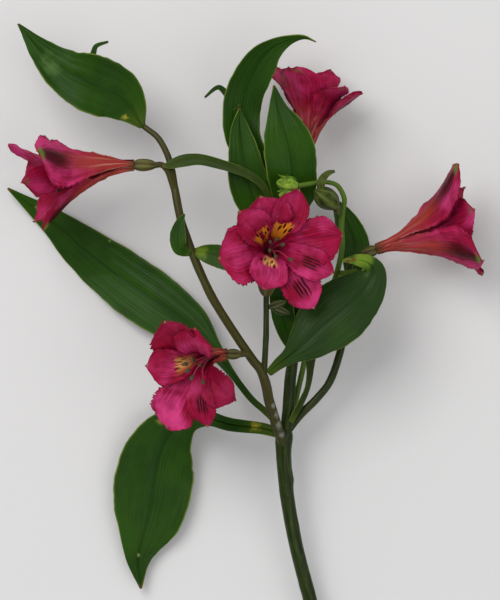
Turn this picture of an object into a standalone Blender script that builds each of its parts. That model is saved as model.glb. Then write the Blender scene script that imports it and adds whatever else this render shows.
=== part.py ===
"""A cut stem of alstroemeria, laid on a flat surface: stem, leaves, open blooms, ovaries, stamens and buds.

The object lies on z = 0 with its face up. +Y runs from the cut end to the blooms, and the origin is under
the middle of its box. Routes are in millimetres, from a drawing origin of their own, and SHIFT moves them to
the middle of the box.
"""

import math

import bmesh
import bpy
import numpy as np
from mathutils import Matrix, Vector

MM = 0.001
SHIFT = (0.515, 0.387)  # millimetres, from the drawing origin to the middle of the box

LEAF_THICKNESS = 0.8
TEPAL_THICKNESS = 0.7
SEAT_GAP = 0.3
FLAT_SPOT = 0.06  # a blade's points lower than this over the surface lie flat on it
LEAF_CELLS = (9, 4)
TEPAL_CELLS = (6, 4)
SMALL_CELLS = (6, 2)
WELD = 0.0005  # millimetres, the finest edge that a union may leave
FINE_SAMPLES = 24
UP = (0, 0, 1)
STRAIGHT = 0.01  # radians: a cross-section bent less than this is drawn straight
TRUMPET_CUP, OPEN_CUP = 30, 22  # degrees from a tepal's middle to its edge
HOOK_CUP, BRACT_CUP = 10, 20
TEPAL_WAVE, TEPAL_WAVES = 0.6, 2

STEM_GREEN = (0.03, 0.045, 0.01)
LEAF_GREEN = (0.02, 0.06, 0.006)
BRIGHT_GREEN = (0.12, 0.22, 0.02)
OVARY_BROWN = (0.05, 0.04, 0.012)
TEPAL_MAGENTA = (0.38, 0.02, 0.09)
ANTHER_GREY = (0.12, 0.12, 0.06)
BUD_OLIVE = (0.07, 0.08, 0.012)

# Stem and rays: rows of (x, y, z, radius), from the lower end up.
MAIN_STEM = [(40.5, -160.5, 3.1, 3.1), (36.5, -130, 7.0, 3.1), (28.8, -99.9, 11.0, 3.15),
             (23.0, -77.4, 14.0, 3.15), (18.8, -54.9, 17.0, 3.2), (17.1, -36, 20.0, 3.5),
             (17.3, -26.5, 21.5, 3.9), (17.6, -22.5, 22.2, 2.8)]
RAY_LEFT = [(17.0, -30.5, 22.5, 2.2), (15.3, -26.1, 25.0, 2.4), (13.0, -18.9, 29.5, 2.4),
            (10.3, -9.9, 35.0, 2.35), (9.0, -3.2, 39.0, 2.3), (6.6, 3.6, 41.5, 2.2),
            (2.7, 8.6, 42.5, 2.1), (-6.1, 21.6, 43.0, 2.0), (-15.3, 36.5, 43.0, 2.0),
            (-22.5, 52.2, 41.5, 1.95), (-26.5, 63.0, 40.5, 1.9), (-29.3, 71.1, 40.0, 1.9),
            (-32.0, 85.0, 38.5, 1.8), (-33.6, 94.5, 37.0, 1.6), (-35.8, 101.5, 36.0, 1.45),
            (-40.0, 108.5, 35.0, 1.4), (-46.2, 113.4, 33.6, 1.3)]
PEDICEL_LEFT = [(-32.2, 84.0, 38.8, 1.4), (-33.6, 88.6, 39.2, 1.4), (-35.2, 93.0, 39.3, 1.4)]
RAY_CENTRE = [(8.0, -0.5, 40.4, 1.4), (8.3, 5.5, 42.4, 1.4), (9.0, 19.0, 42.6, 1.35), (9.1, 28.0, 42.2, 1.3)]
PEDICEL_LOWER = [(3.4, 8.2, 42.4, 1.5)]
RAY_TOP = [(17.6, -27.0, 21.6, 2.8), (19.0, -16.0, 23.0, 2.8), (20.0, -0.9, 24.5, 2.7),
           (21.3, 9.0, 25.5, 2.5), (22.6, 25.0, 26.5, 2.3), (23.4, 42.0, 27.3, 2.1),
           (23.0, 57.6, 28.0, 2.0), (22.0, 68.9, 27.6, 1.9), (24.0, 81.0, 26.2, 1.6)]
RAY_BUDS = [(17.9, -25.0, 21.0, 1.4), (22.0, -12.0, 20.0, 1.35), (25.6, 3.6, 21.5, 1.3),
            (30.0, 22.0, 25.5, 1.3), (36.8, 36.0, 30.0, 1.3), (41.0, 47.5, 34.0, 1.3),
            (43.2, 59.0, 37.5, 1.25), (42.9, 68.0, 40.0, 1.25), (43.4, 75.0, 42.0, 1.2),
            (44.2, 80.5, 44.0, 1.15), (41.0, 86.4, 46.5, 1.1), (35.4, 88.0, 49.4, 1.05),
            (29.0, 87.2, 51.2, 1.05), (23.2, 86.3, 52.0, 1.1)]
RAY_RIGHT = [(17.8, -25.5, 22.0, 1.9), (24.3, -17.1, 22.6, 1.9), (32.4, -9.0, 23.4, 1.8),
             (38.3, -0.9, 24.0, 1.75), (42.8, 12.6, 24.6, 1.7), (44.9, 24.0, 25.0, 1.6),
             (45.7, 38.0, 25.0, 1.5), (46.2, 46.0, 25.0, 1.5), (47.4, 51.6, 25.2, 1.5)]

RAYS = [(RAY_LEFT, 18, None), (PEDICEL_LEFT, 7, "left"), (RAY_CENTRE, 9, "centre"),
        (PEDICEL_LOWER, 4, "lower"), (RAY_TOP, 18, "top"), (RAY_BUDS, 22, None), (RAY_RIGHT, 17, "right")]

# Leaves: rows of (x, y, z, width, roll in degrees), from the base to the tip, with the blade's cup in
# degrees, the height of its edge wave in millimetres and the number of waves.
SMALL_LEAVES = ("bract_folded", "leaf_twisted", "leaf_small_node")
LEAVES = {
    "leaf_upper_left": dict(
        rows=[(-47.1, 113.9, 33.4, 2.4, 0), (-51.6, 121.0, 33.6, 16.0, 0), (-59.0, 128.0, 35.0, 25.0, 0),
              (-70.2, 132.8, 37.0, 27.0, 0), (-81.0, 138.0, 36.0, 21.0, 0), (-91.8, 146.9, 33.0, 12.0, 0),
              (-102.8, 159.7, 29.0, 1.2, 0)],
        cup=24, wave=0.9, waves=3),
    "leaf_long_left": dict(
        rows=[(13.7, -20.0, 24.8, 2.6, 0), (8.0, -14.6, 22.0, 2.8, 0), (1.8, -9.0, 19.5, 3.0, 0),
              (-7.0, 2.5, 16.0, 3.6, 0), (-15.5, 13.6, 12.4, 9.0, 0), (-25.0, 22.8, 9.2, 19.5, 0),
              (-41.0, 33.8, 5.4, 27.0, 0), (-57.4, 45.6, 1.0, 26.0, 0), (-73.2, 57.9, -0.9, 21.0, 0),
              (-89.0, 71.5, 1.6, 12.0, 0), (-108.4, 85.9, 6.0, 1.2, 0)],
        cup=16, wave=0.5, waves=2),
    "leaf_lower_left": dict(
        rows=[(13.45, -24.6, 22.1, 4.6, 0), (7.0, -23.0, 20.0, 5.4, 0), (-7.2, -21.3, 15.5, 6.0, 0),
              (-17.0, -18.6, 12.0, 7.0, 0), (-26.5, -19.5, 9.5, 14.0, 0), (-34.5, -26.0, 8.0, 25.0, 0),
              (-39.6, -36.0, 6.5, 33.0, 0), (-42.0, -47.5, 5.5, 36.0, 0), (-44.6, -63.9, 5.0, 31.5, 0),
              (-48.8, -81.5, 5.0, 13.0, 0), (-47.8, -96.2, 6.0, 1.2, 0)],
        cup=14, wave=0.6, waves=3),
    "leaf_top_curl": dict(
        rows=[(23.2, 82.7, 27.9, 2.6, 0), (14.0, 90.0, 33.0, 9.0, 0), (3.8, 98.5, 34.0, 14.0, 0),
              (-1.4, 109.0, 34.0, 16.5, 0), (-1.9, 120.6, 34.0, 17.5, 0), (0.6, 131.0, 36.5, 17.5, 0),
              (6.8, 142.4, 41.0, 15.5, 10), (12.5, 148.4, 43.5, 10.0, 25), (19.5, 151.9, 45.0, 5.5, 40),
              (26.0, 153.0, 45.0, 2.8, 40), (31.3, 151.0, 44.0, 1.2, 40)],
        cup=24, wave=0.7, waves=2),
    "leaf_upright_left": dict(
        rows=[(20.2, 66.4, 29.4, 2.6, 0), (15.0, 68.2, 33.0, 5.0, 0), (9.9, 71.5, 36.0, 10.0, 0),
              (4.4, 79.0, 38.5, 17.0, 0), (0.9, 89.1, 40.0, 18.0, 0), (-0.9, 100.4, 40.5, 14.5, 0),
              (-2.6, 111.6, 40.0, 9.0, 0), (-2.8, 121.5, 39.0, 1.2, 0)],
        cup=24, wave=0.5, waves=2),
    "leaf_upright_right": dict(
        rows=[(22.6, 70.4, 29.6, 2.8, 0), (22.2, 75.0, 36.0, 9.0, 0), (21.5, 81.0, 42.0, 18.0, 0),
              (20.8, 91.0, 46.5, 22.6, 0), (19.4, 102.6, 48.5, 23.4, 0), (17.0, 112.0, 48.5, 18.5, 0),
              (14.4, 121.0, 47.0, 9.0, 0), (12.6, 131.4, 44.5, 1.2, 0)],
        cup=20, wave=0.5, waves=2),
    "leaf_hooded": dict(
        rows=[(10.6, 2.7, 43.1, 3.4, 0), (14.6, 6.4, 46.0, 5.4, 0), (19.5, 10.0, 48.5, 8.0, 0),
              (27.0, 16.2, 50.5, 19.0, 0), (35.2, 24.4, 51.0, 28.0, 0), (44.8, 32.4, 50.0, 28.5, 0),
              (53.4, 40.6, 47.0, 21.0, 0), (57.0, 47.6, 46.0, 12.0, 0), (54.6, 51.8, 48.5, 7.0, 0),
              (49.6, 53.0, 51.0, 5.0, 0), (43.0, 52.8, 51.6, 1.6, 0)],
        cup=-26, wave=0.6, waves=2),
    "leaf_behind_right": dict(
        rows=[(46.4, 43.0, 22.6, 2.6, 0), (48.4, 49.5, 20.0, 9.0, 0), (49.4, 58.0, 18.4, 13.5, 0),
              (46.9, 66.5, 18.0, 13.0, 0), (43.4, 74.5, 19.0, 8.0, 0), (38.5, 82.0, 20.5, 1.2, 0)],
        cup=16, wave=0.4, waves=1),
    "leaf_behind_centre": dict(
        rows=[(20.9, 12.4, 28.7, 2.6, 0), (18.6, 20.5, 32.0, 8.5, 0), (16.4, 30.0, 34.5, 10.5, 0),
              (15.4, 41.0, 36.5, 9.0, 0), (16.0, 51.5, 38.0, 1.2, 0)],
        cup=16, wave=0.4, waves=1),
    "leaf_small_node": dict(
        rows=[(-25.8, 56.4, 43.4, 2.6, 0), (-29.6, 58.4, 44.8, 6.6, 0), (-30.6, 64.0, 44.6, 7.2, 0),
              (-29.6, 69.6, 44.2, 4.6, 0), (-27.7, 73.8, 43.6, 1.2, 0)],
        cup=16, wave=0.2, waves=1),
    "leaf_cross": dict(
        rows=[(-21.9, 56.6, 43.1, 3.4, 0), (-18.2, 56.0, 44.4, 8.0, 0), (-11.7, 54.6, 45.4, 10.5, 0),
              (-5.0, 52.2, 46.2, 9.5, 0), (0.0, 50.4, 46.8, 5.5, 0), (3.6, 49.4, 47.2, 1.2, 0)],
        cup=14, wave=0.3, waves=1),
    "leaf_ribbon": dict(
        rows=[(20.6, 60.4, 30.0, 2.2, 0), (15.6, 67.0, 38.0, 2.4, 0), (11.8, 75.5, 43.5, 2.5, 0),
              (9.6, 83.0, 46.0, 2.7, 0), (5.6, 88.4, 46.6, 3.2, 0), (-0.6, 92.2, 46.4, 3.8, 0),
              (-9.5, 95.4, 45.6, 4.4, 0), (-20.7, 98.2, 43.6, 5.0, 0), (-28.5, 97.6, 42.4, 5.6, 0),
              (-34.2, 95.9, 42.0, 3.6, 0), (-37.6, 95.2, 42.0, 1.2, 0)],
        cup=10, wave=0.3, waves=2),
    "leaf_twisted": dict(
        rows=[(20.5, -19.4, 25.8, 2.4, 0), (24.3, -12.2, 27.4, 3.0, 20), (27.6, -4.5, 29.0, 3.0, 45),
              (28.9, 3.6, 31.0, 3.4, 20), (28.8, 11.4, 33.0, 5.4, 0), (28.2, 19.0, 34.5, 1.4, 0)],
        cup=10, wave=0.2, waves=1),
    "bract_folded": dict(
        rows=[(42.2, 47.0, 34.9, 2.4, 0), (44.8, 46.0, 36.6, 5.0, 0), (47.2, 46.6, 37.6, 5.0, 0),
              (49.8, 49.0, 38.2, 1.2, 0)],
        cup=24, wave=0.2, waves=1),
}
# Small hooked lobes, each grown from a leaf's edge: the leaf, and rows as above.
HOOKS = {
    "leaf_upper_left": [(-70.0, 141.0, 37.0, 3.6, 0), (-68.6, 146.6, 36.6, 2.6, 0),
                        (-67.2, 149.6, 36.4, 2.0, 0), (-62.0, 151.4, 36.0, 1.0, 0)],
    "leaf_top_curl": [(-4.0, 121.5, 34.6, 4.0, 0), (-9.8, 129.2, 33.0, 2.8, 0),
                      (-13.2, 130.8, 32.8, 2.0, 0), (-18.6, 126.4, 32.6, 1.0, 0)],
}

# Tepal forms: rows of (radius from the axis, height along it, width), from the claw to the tip.
OUTER_TRUMPET = [(1.9, 0, 3.4), (2.9, 8, 4.6), (4.9, 17, 7.6), (8.2, 27, 13.5), (13.6, 37, 19),
                 (19.4, 45, 18.5), (23.4, 49.5, 11), (25.4, 51.5, 2.4)]
INNER_TRUMPET = [(1.8, 0, 3.2), (2.6, 8, 4.0), (4.2, 17, 6.2), (6.4, 28, 10.5), (10.6, 39, 14.5),
                 (15.6, 47, 14), (19.4, 51.5, 8), (21.2, 53.5, 2)]
OUTER_OPEN = [(1.9, 0, 3.4), (2.9, 7, 4.6), (4.6, 15, 7.4), (8.6, 22, 11.5), (16.0, 26.5, 18), (23.5, 28, 18),
              (28.6, 27.5, 10.5), (31.0, 26.6, 2.4)]
INNER_OPEN = [(1.8, 0, 3.2), (2.6, 7, 4.0), (4.2, 15, 6.0), (7.6, 22.4, 9.5), (14.6, 27.6, 13.5),
              (21.6, 29.6, 13), (26.6, 29.8, 7.5), (28.8, 29.4, 2)]

# Blooms: the base of the perianth, the way it leaves the ovary, the way it faces, the length of the bend
# between the two, and tepals as (form, azimuth in degrees, and the factors of its reach, width and length).
BLOOMS = {
    "left": dict(
        base=(-50.4, 95.8, 39.4), leaves=(-1.0, 0.0, 0.02), faces=(-0.965, -0.24, 0.1), bend=20,
        tepals=[(OUTER_TRUMPET, 31, 1.06, 1.5, 0.84), (OUTER_TRUMPET, 172, 0.9, 1.2, 0.96),
                (OUTER_TRUMPET, 286, 0.87, 1.1, 0.94), (INNER_TRUMPET, 6, 0.86, 0.85, 1.0),
                (INNER_TRUMPET, 108, 1.0, 1.25, 1.0), (INNER_TRUMPET, 232, 1.0, 1.2, 0.94)]),
    "centre": dict(
        base=(9.8, 48.6, 48.6), leaves=(0.05, 0.93, 0.36), faces=(0.2, -0.08, 0.97), bend=24,
        tepals=[(OUTER_OPEN, 108, 0.78, 1.2, 1.0), (INNER_OPEN, 70, 0.98, 1.2, 1.0),
                (OUTER_OPEN, 10, 1.0, 1.15, 1.0), (INNER_OPEN, 336, 0.98, 1.1, 1.0),
                (OUTER_OPEN, 303, 1.06, 0.95, 1.0), (INNER_OPEN, 252, 0.68, 1.4, 1.0),
                (OUTER_OPEN, 191, 0.86, 1.45, 1.0), (INNER_OPEN, 138, 0.84, 1.2, 1.0)]),
    "lower": dict(
        base=(-8.8, 10.7, 46.8), leaves=(-0.96, -0.02, 0.26), faces=(-0.42, -0.4, 0.82), bend=18,
        tepals=[(OUTER_OPEN, 114, 0.8, 1.3, 1.0), (INNER_OPEN, 74, 0.74, 1.4, 1.0),
                (INNER_OPEN, 174, 0.78, 1.38, 1.0), (OUTER_OPEN, 236, 1.16, 1.15, 1.0),
                (INNER_OPEN, 275, 0.98, 1.05, 1.0), (OUTER_OPEN, 318, 0.78, 1.0, 1.0)]),
    "right": dict(
        base=(58.9, 58.0, 25.3), leaves=(0.94, 0.34, 0.0), faces=(0.968, 0.252, 0.0), bend=20,
        tepals=[(OUTER_TRUMPET, 122, 1.26, 1.45, 1.0), (OUTER_TRUMPET, 222, 1.06, 1.35, 1.0),
                (OUTER_TRUMPET, 350, 1.0, 1.15, 1.0), (INNER_TRUMPET, 50, 1.0, 1.15, 1.0),
                (INNER_TRUMPET, 166, 1.1, 1.4, 1.0), (INNER_TRUMPET, 286, 1.18, 1.4, 0.95)]),
    "top": dict(
        base=(27.8, 103.4, 24.4), leaves=(0.1, 0.99, 0.0), faces=(0.12, 0.98, 0.1), bend=12,
        tepals=[(OUTER_TRUMPET, 186, 0.86, 1.1, 0.82), (OUTER_TRUMPET, 60, 0.76, 1.4, 1.1),
                (OUTER_TRUMPET, 310, 1.2, 1.0, 1.0), (INNER_TRUMPET, 134, 0.9, 1.25, 0.88),
                (INNER_TRUMPET, 10, 0.66, 1.1, 1.0), (INNER_TRUMPET, 250, 0.9, 1.1, 1.0)]),
}
BLOOM_LENGTH = {"left": 0.98, "centre": 1.0, "lower": 0.86, "right": 0.87, "top": 0.66}
BLOOM_UP = (0.0, 1.0, 0.0)
TOP_UP = (0.0, 0.0, 1.0)
PLUG = [(-0.6, 1.5), (0.0, 2.2), (0.9, 2.2), (1.5, 1.5)]

# Ovaries, each in line with the base of its bloom, as (length, radius), and the form that they share, as
# (share of the length, share of the radius). The pedicel's last stretch runs in the same line.
OVARIES = {
    "left": (8.4, 2.7),
    "centre": (10.6, 4.3),
    "lower": (5.4, 2.3),
    "right": (5.4, 2.5),
    "top": (8.6, 2.7),
}
PEDICEL_REACH = 3.0
OVARY_FORM = [(0.0, 0.45), (0.2, 0.8), (0.5, 1.0), (0.8, 0.9), (1.0, 0.6)]
OVARY_RIB = 0.09

# Stamens: (azimuth, reach, height of the anther) of each filament.
STAMENS = [(20, 3.0, 26.0), (85, 3.0, 25.5), (140, 3.4, 28.0), (205, 2.8, 27.0), (262, 3.6, 29.0),
           (318, 7.4, 31.0)]
STAMEN_STRETCH = {"left": 1.15, "centre": 0.98, "lower": 0.86, "right": 1.2}
FILAMENT_FORM = [(0.35, 0.12), (0.7, 0.4), (1.0, 1.0)]
ANTHER = (1.9, 0.85)  # length past the filament's tip, and radius
ANTHER_FORM = [(0, 0.5), (0.5, 1.0), (1, 0.4)]
ANTHER_LEAN = 0.6  # how far an anther leans outward
ANTHER_HOLD = 0.4  # share of its length below the filament's tip
FILAMENT_RADIUS = 0.4
DISC_FORM = [(0, 0.9), (0.5, 1.0), (1, 0.8)]
DISC = (1.0, 0.9)  # length and radius of the disc under the filaments

# Buds: (base, tip, greatest radius), and the form that they share, as (share of the length, share of the
# radius).
BUD_FORM = [(0.0, 0.4), (0.2, 0.85), (0.45, 1.0), (0.7, 0.8), (0.9, 0.42), (1.0, 0.14)]
BUDS = {
    "bud_yellow": [((22.6, 86.3, 52.1), (13.6, 87.6, 53.0), 3.6),
                   ((20.4, 85.2, 52.2), (14.8, 81.6, 53.4), 2.2)],
    "bud_olive": [((41.8, 74.2, 44.2), (39.7, 78.5, 47.3), 2.1),
                  ((40.4, 77.4, 46.8), (30.8, 84.2, 54.0), 4.9)],
    "buds_small": [((10.8, 32.0, 42.1), (18.0, 34.6, 41.4), 2.2),
                   ((12.6, 31.4, 42.0), (19.6, 29.0, 41.2), 1.9)],
}
BUD_COLOURS = {"bud_yellow": BRIGHT_GREEN, "bud_olive": BUD_OLIVE, "buds_small": BUD_OLIVE}
BUD_LOBES = 3
BUD_BRACT = [(33.6, 83.0, 53.0, 3.4, 0), (33.8, 88.2, 55.0, 3.8, 0), (36.4, 91.6, 54.0, 2.8, 0),
             (39.8, 92.8, 53.4, 1.2, 0)]


def clear_scene():
    """Removes every object that the scene starts with."""
    for obj in list(bpy.data.objects):
        bpy.data.objects.remove(obj, do_unlink=True)


def material(name, colour, roughness):
    """A Principled material of one colour."""
    made = bpy.data.materials.new(name)
    made.use_nodes = True
    shader = made.node_tree.nodes["Principled BSDF"]
    shader.inputs["Base Color"].default_value = (*colour, 1.0)
    shader.inputs["Roughness"].default_value = roughness
    shader.inputs["Metallic"].default_value = 0.0
    return made


def unit(vector):
    """The vector at length 1."""
    vector = np.asarray(vector, float)
    return vector / np.linalg.norm(vector)


def smooth_rows(rows, count):
    """Rows read at even steps along a smooth curve through the given rows, which start with a place."""
    rows = np.array(rows, float)
    ends = np.vstack([2 * rows[0] - rows[1], rows, 2 * rows[-1] - rows[-2]])
    dense = []
    for before, start, end, after in zip(ends, ends[1:], ends[2:], ends[3:]):
        for share in np.linspace(0, 1, FINE_SAMPLES, endpoint=False):
            dense.append(0.5 * (2 * start + (end - before) * share
                                + (2 * before - 5 * start + 4 * end - after) * share ** 2
                                + (3 * start - before - 3 * end + after) * share ** 3))
    dense = np.array(dense + [rows[-1]])
    length = np.concatenate([[0], np.cumsum(np.linalg.norm(np.diff(dense[:, :3], axis=0), axis=1))])
    wanted = np.linspace(0, length[-1], count)
    return np.column_stack([np.interp(wanted, length, column) for column in dense.T])


def new_object(name, bm):
    """A mesh object at the origin, made from the bmesh, whose places are in millimetres."""
    bmesh.ops.scale(bm, vec=(MM, MM, MM), verts=bm.verts)
    mesh = bpy.data.meshes.new(name)
    bm.to_mesh(mesh)
    bm.free()
    obj = bpy.data.objects.new(name, mesh)
    bpy.context.scene.collection.objects.link(obj)
    return obj


def tube(name, rows, count, resolution=1):
    """A round stem through rows of (x, y, z, radius), as a mesh with closed ends."""
    curve = bpy.data.curves.new(name, "CURVE")
    curve.dimensions = "3D"
    curve.bevel_depth = MM
    curve.bevel_resolution = resolution
    curve.use_fill_caps = True
    spline = curve.splines.new("POLY")
    points = smooth_rows(rows, count)
    points[-2] = rows[-2]  # the end keeps the direction of its last two rows
    spline.points.add(count - 1)
    for point, (x, y, z, radius) in zip(spline.points, points):
        point.co = (x * MM, y * MM, z * MM, 1.0)
        point.radius = radius
    guide = bpy.data.objects.new(name + "_guide", curve)
    bpy.context.scene.collection.objects.link(guide)
    mesh = bpy.data.meshes.new_from_object(guide.evaluated_get(bpy.context.evaluated_depsgraph_get()))
    bpy.data.objects.remove(guide, do_unlink=True)
    bm = bmesh.new()
    bm.from_mesh(mesh)
    bmesh.ops.remove_doubles(bm, verts=bm.verts, dist=0.01 * MM)
    bmesh.ops.recalc_face_normals(bm, faces=bm.faces)
    bmesh.ops.scale(bm, vec=(1 / MM, 1 / MM, 1 / MM), verts=bm.verts)
    return new_object(name, bm)


def cross_section(half_width, cup, share):
    """Sideways and upward place of a point across a blade, at a share of -1 to 1, on an arc."""
    if abs(cup) < STRAIGHT:
        return half_width * share, 0.0
    return half_width * math.sin(cup * share) / cup, half_width * (1 - math.cos(cup * share)) / cup


def blade(name, rows, cells, thickness, cup, wave=0.0, waves=1, floor=None):
    """A thin closed blade, split alike on both faces, along rows of (x, y, z, width, roll).

    Three more values in each row give the way across the blade. Without them it faces up.
    """
    along, across = cells
    line = smooth_rows(rows, along + 1)
    tangents = np.gradient(line[:, :3], axis=0)
    bm = bmesh.new()
    bmesh.ops.create_grid(bm, x_segments=along, y_segments=across, size=1)
    bmesh.ops.triangulate(bm, faces=bm.faces)
    for vert in bm.verts:
        station = round((vert.co.x + 1) / 2 * along)
        share = vert.co.y
        place, width, roll, side = line[station][:3], line[station][3], line[station][4], line[station][5:]
        forward = unit(tangents[station])
        across_way = unit(side - np.dot(side, forward) * forward if len(side) else np.cross(UP, forward))
        face_way = np.cross(forward, across_way)
        turn = math.radians(roll)
        across_way, face_way = (across_way * math.cos(turn) + face_way * math.sin(turn),
                                face_way * math.cos(turn) - across_way * math.sin(turn))
        sideways, rise = cross_section(width / 2, math.radians(cup), share)
        rise += wave * abs(share) ** 2 * math.sin(2 * math.pi * waves * station / along + share)
        vert.co = place + across_way * sideways + face_way * rise
        if floor is not None:
            vert.co.z = max(vert.co.z, floor + thickness / 2)
    bm.normal_update()
    for vert, move in [(vert, vert.normal * thickness / 2) for vert in bm.verts]:
        vert.co += move
    bmesh.ops.solidify(bm, geom=bm.faces[:], thickness=thickness)
    if floor is not None:
        for vert in bm.verts:
            vert.co.z = floor if vert.co.z < floor + FLAT_SPOT else vert.co.z
    bmesh.ops.recalc_face_normals(bm, faces=bm.faces)
    return new_object(name, bm)


def spindle(name, base, tip, form, radius, sides=12, rib=0.0, lobes=6):
    """A turned body between two points, its radius read from the form, with raised ribs along it."""
    base, tip = Vector(base), Vector(tip)
    length = (tip - base).length
    bm = bmesh.new()
    bmesh.ops.create_cone(bm, cap_ends=True, segments=sides, radius1=1, radius2=1, depth=1)
    risers = [edge for edge in bm.edges if abs(edge.verts[0].co.z - edge.verts[1].co.z) > 0.5]
    bmesh.ops.subdivide_edges(bm, edges=risers, cuts=len(form) - 2, use_grid_fill=True)
    shares, radii = zip(*form)
    steps = len(form) - 1
    for vert in bm.verts:
        row = round((vert.co.z + 0.5) * steps)
        angle = math.atan2(vert.co.y, vert.co.x)
        reach = radii[row] * radius * (1 + rib * math.cos(lobes * angle))
        vert.co = Vector((reach * math.cos(angle), reach * math.sin(angle), shares[row] * length))
    turn = (tip - base).to_track_quat("Z", "Y").to_matrix().to_4x4()
    bmesh.ops.transform(bm, matrix=Matrix.Translation(base) @ turn, verts=bm.verts)
    bmesh.ops.triangulate(bm, faces=bm.faces)
    bmesh.ops.recalc_face_normals(bm, faces=bm.faces)
    return new_object(name, bm)


def fuse(name, pieces, solver="MANIFOLD"):
    """Joins the pieces in one closed body by one Boolean union on a collection, and removes them."""
    whole, others = pieces[0], pieces[1:]
    if others:
        helpers = bpy.data.collections.new(name + "_repeats")
        bpy.context.scene.collection.children.link(helpers)
        for piece in others:
            bpy.context.scene.collection.objects.unlink(piece)
            helpers.objects.link(piece)
        union = whole.modifiers.new("union", "BOOLEAN")
        union.operation = "UNION"
        union.operand_type = "COLLECTION"
        union.collection = helpers
        union.solver = solver
        graph = bpy.context.evaluated_depsgraph_get()
        joined = bpy.data.meshes.new_from_object(whole.evaluated_get(graph))
        whole.modifiers.remove(union)
        whole.data = joined
        for piece in others:
            bpy.data.objects.remove(piece, do_unlink=True)
        bpy.data.collections.remove(helpers)
    whole.name = whole.data.name = name
    return whole


def finish(obj, colour, roughness=0.5, smooth=True):
    """Gives a piece its own material, smooth shading and its place about the origin."""
    bm = bmesh.new()
    bm.from_mesh(obj.data)
    bmesh.ops.remove_doubles(bm, verts=bm.verts, dist=WELD * MM)
    bmesh.ops.dissolve_degenerate(bm, edges=bm.edges, dist=WELD * MM)
    bmesh.ops.triangulate(bm, faces=bm.faces)
    bmesh.ops.translate(bm, vec=(SHIFT[0] * MM, SHIFT[1] * MM, 0), verts=bm.verts)
    bm.to_mesh(obj.data)
    bm.free()
    obj.data.materials.clear()
    obj.data.materials.append(material(obj.name, colour, roughness))
    if smooth:
        obj.data.shade_smooth()
    return obj


def ovary_ends(key):
    """The two ends of an ovary: the one on its pedicel and the one under the perianth."""
    out, base = unit(BLOOMS[key]["leaves"]), np.array(BLOOMS[key]["base"])
    end = base + out * (PLUG[0][0] - SEAT_GAP)
    return end - out * OVARIES[key][0], end


def pedicel_end(key, radius):
    """The last two rows of a pedicel, in line with the ovary that it carries."""
    if key is None:
        return []
    out = unit(BLOOMS[key]["leaves"])
    seat = ovary_ends(key)[0] - out * SEAT_GAP
    return [(*(seat - out * PEDICEL_REACH), radius), (*seat, radius)]


def build_stem():
    """The main stem with its rays and pedicels, cut at its lower end, as one grown piece."""
    pieces = [tube("main", MAIN_STEM, 12, 2)]
    for number, (rows, count, key) in enumerate(RAYS):
        pieces.append(tube(f"ray_{number}", rows + pedicel_end(key, rows[-1][3]), count, 1))
    stem = fuse("stem", pieces)
    for vert in stem.data.vertices:
        vert.co.z = max(vert.co.z, 0.0)
    return finish(stem, STEM_GREEN)


def build_leaves():
    """Each leaf as its own thin blade, with its hooked lobe where it has one."""
    for name, leaf in LEAVES.items():
        cells = SMALL_CELLS if name in SMALL_LEAVES else LEAF_CELLS
        pieces = [blade(name + "_blade", leaf["rows"], cells, LEAF_THICKNESS, leaf["cup"], leaf["wave"],
                        leaf["waves"], floor=0.0)]
        if name in HOOKS:
            pieces.append(blade(name + "_hook", HOOKS[name], SMALL_CELLS, LEAF_THICKNESS, HOOK_CUP))
        finish(fuse(name, pieces), BRIGHT_GREEN if name == "bract_folded" else LEAF_GREEN)


def bloom_place(bloom, height, azimuth, reach, up=BLOOM_UP):
    """A place round a bloom's bent axis, with the outward way and the way across it there."""
    base, leaves, faces = (np.array(bloom[key], float) for key in ("base", "leaves", "faces"))
    leaves, faces, bend = unit(leaves), unit(faces), bloom["bend"]
    share, straight = min(height / bend, 1.0), max(height - bend, 0.0)
    axis = base + bend / 2 * (leaves * (2 * share - share ** 2) + faces * share ** 2) + faces * straight
    ninety = unit(np.array(up) - np.dot(up, faces) * faces)
    zero, angle = np.cross(ninety, faces), math.radians(azimuth)
    turn = Vector(faces).rotation_difference(Vector(leaves * (1 - share) + faces * share))
    outward = np.array(turn @ Vector(zero * math.cos(angle) + ninety * math.sin(angle)))
    return axis + outward * reach, outward, np.cross(np.array(turn @ Vector(faces)), outward)


def tepal_rows(bloom, form, azimuth, reach, widen, length, up):
    """Blade rows of one tepal, each with the way that runs across it."""
    rows = []
    for radius, height, width in form:
        share = height / form[-1][1]
        radius *= 1 + (reach - 1) * share
        place, _, across = bloom_place(bloom, height * length, azimuth, radius, up)
        rows.append((*place, width * (1 + (widen - 1) * share), 0.0, *across))
    return rows


def build_bloom(key):
    """The tepals of one open bloom, joined at their claws round a small base."""
    bloom = BLOOMS[key]
    up = TOP_UP if key == "top" else BLOOM_UP
    name = "bloom_" + key
    out = unit(bloom["leaves"])
    low, high = PLUG[0][0], PLUG[-1][0]
    form = [((height - low) / (high - low), radius) for height, radius in PLUG]
    base = np.array(bloom["base"])
    pieces = [spindle(name + "_plug", base + out * low, base + out * high, form, 1.0, sides=8)]
    for number, (tepal, azimuth, reach, widen, lengthen) in enumerate(bloom["tepals"]):
        rows = tepal_rows(bloom, tepal, azimuth, reach, widen, BLOOM_LENGTH[key] * lengthen, up)
        cup = TRUMPET_CUP if tepal in (OUTER_TRUMPET, INNER_TRUMPET) else OPEN_CUP
        pieces.append(blade(f"{name}_tepal_{number}", rows, TEPAL_CELLS, TEPAL_THICKNESS, cup, TEPAL_WAVE,
                            TEPAL_WAVES, floor=0.0))
    return finish(fuse(name, pieces), TEPAL_MAGENTA)


def build_ovary(key):
    """The ribbed ovary under a bloom, seated between its pedicel and the perianth."""
    start, end = ovary_ends(key)
    body = spindle("ovary_" + key, start, end, OVARY_FORM, OVARIES[key][1], sides=12, rib=OVARY_RIB)
    return finish(body, OVARY_BROWN)


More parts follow.
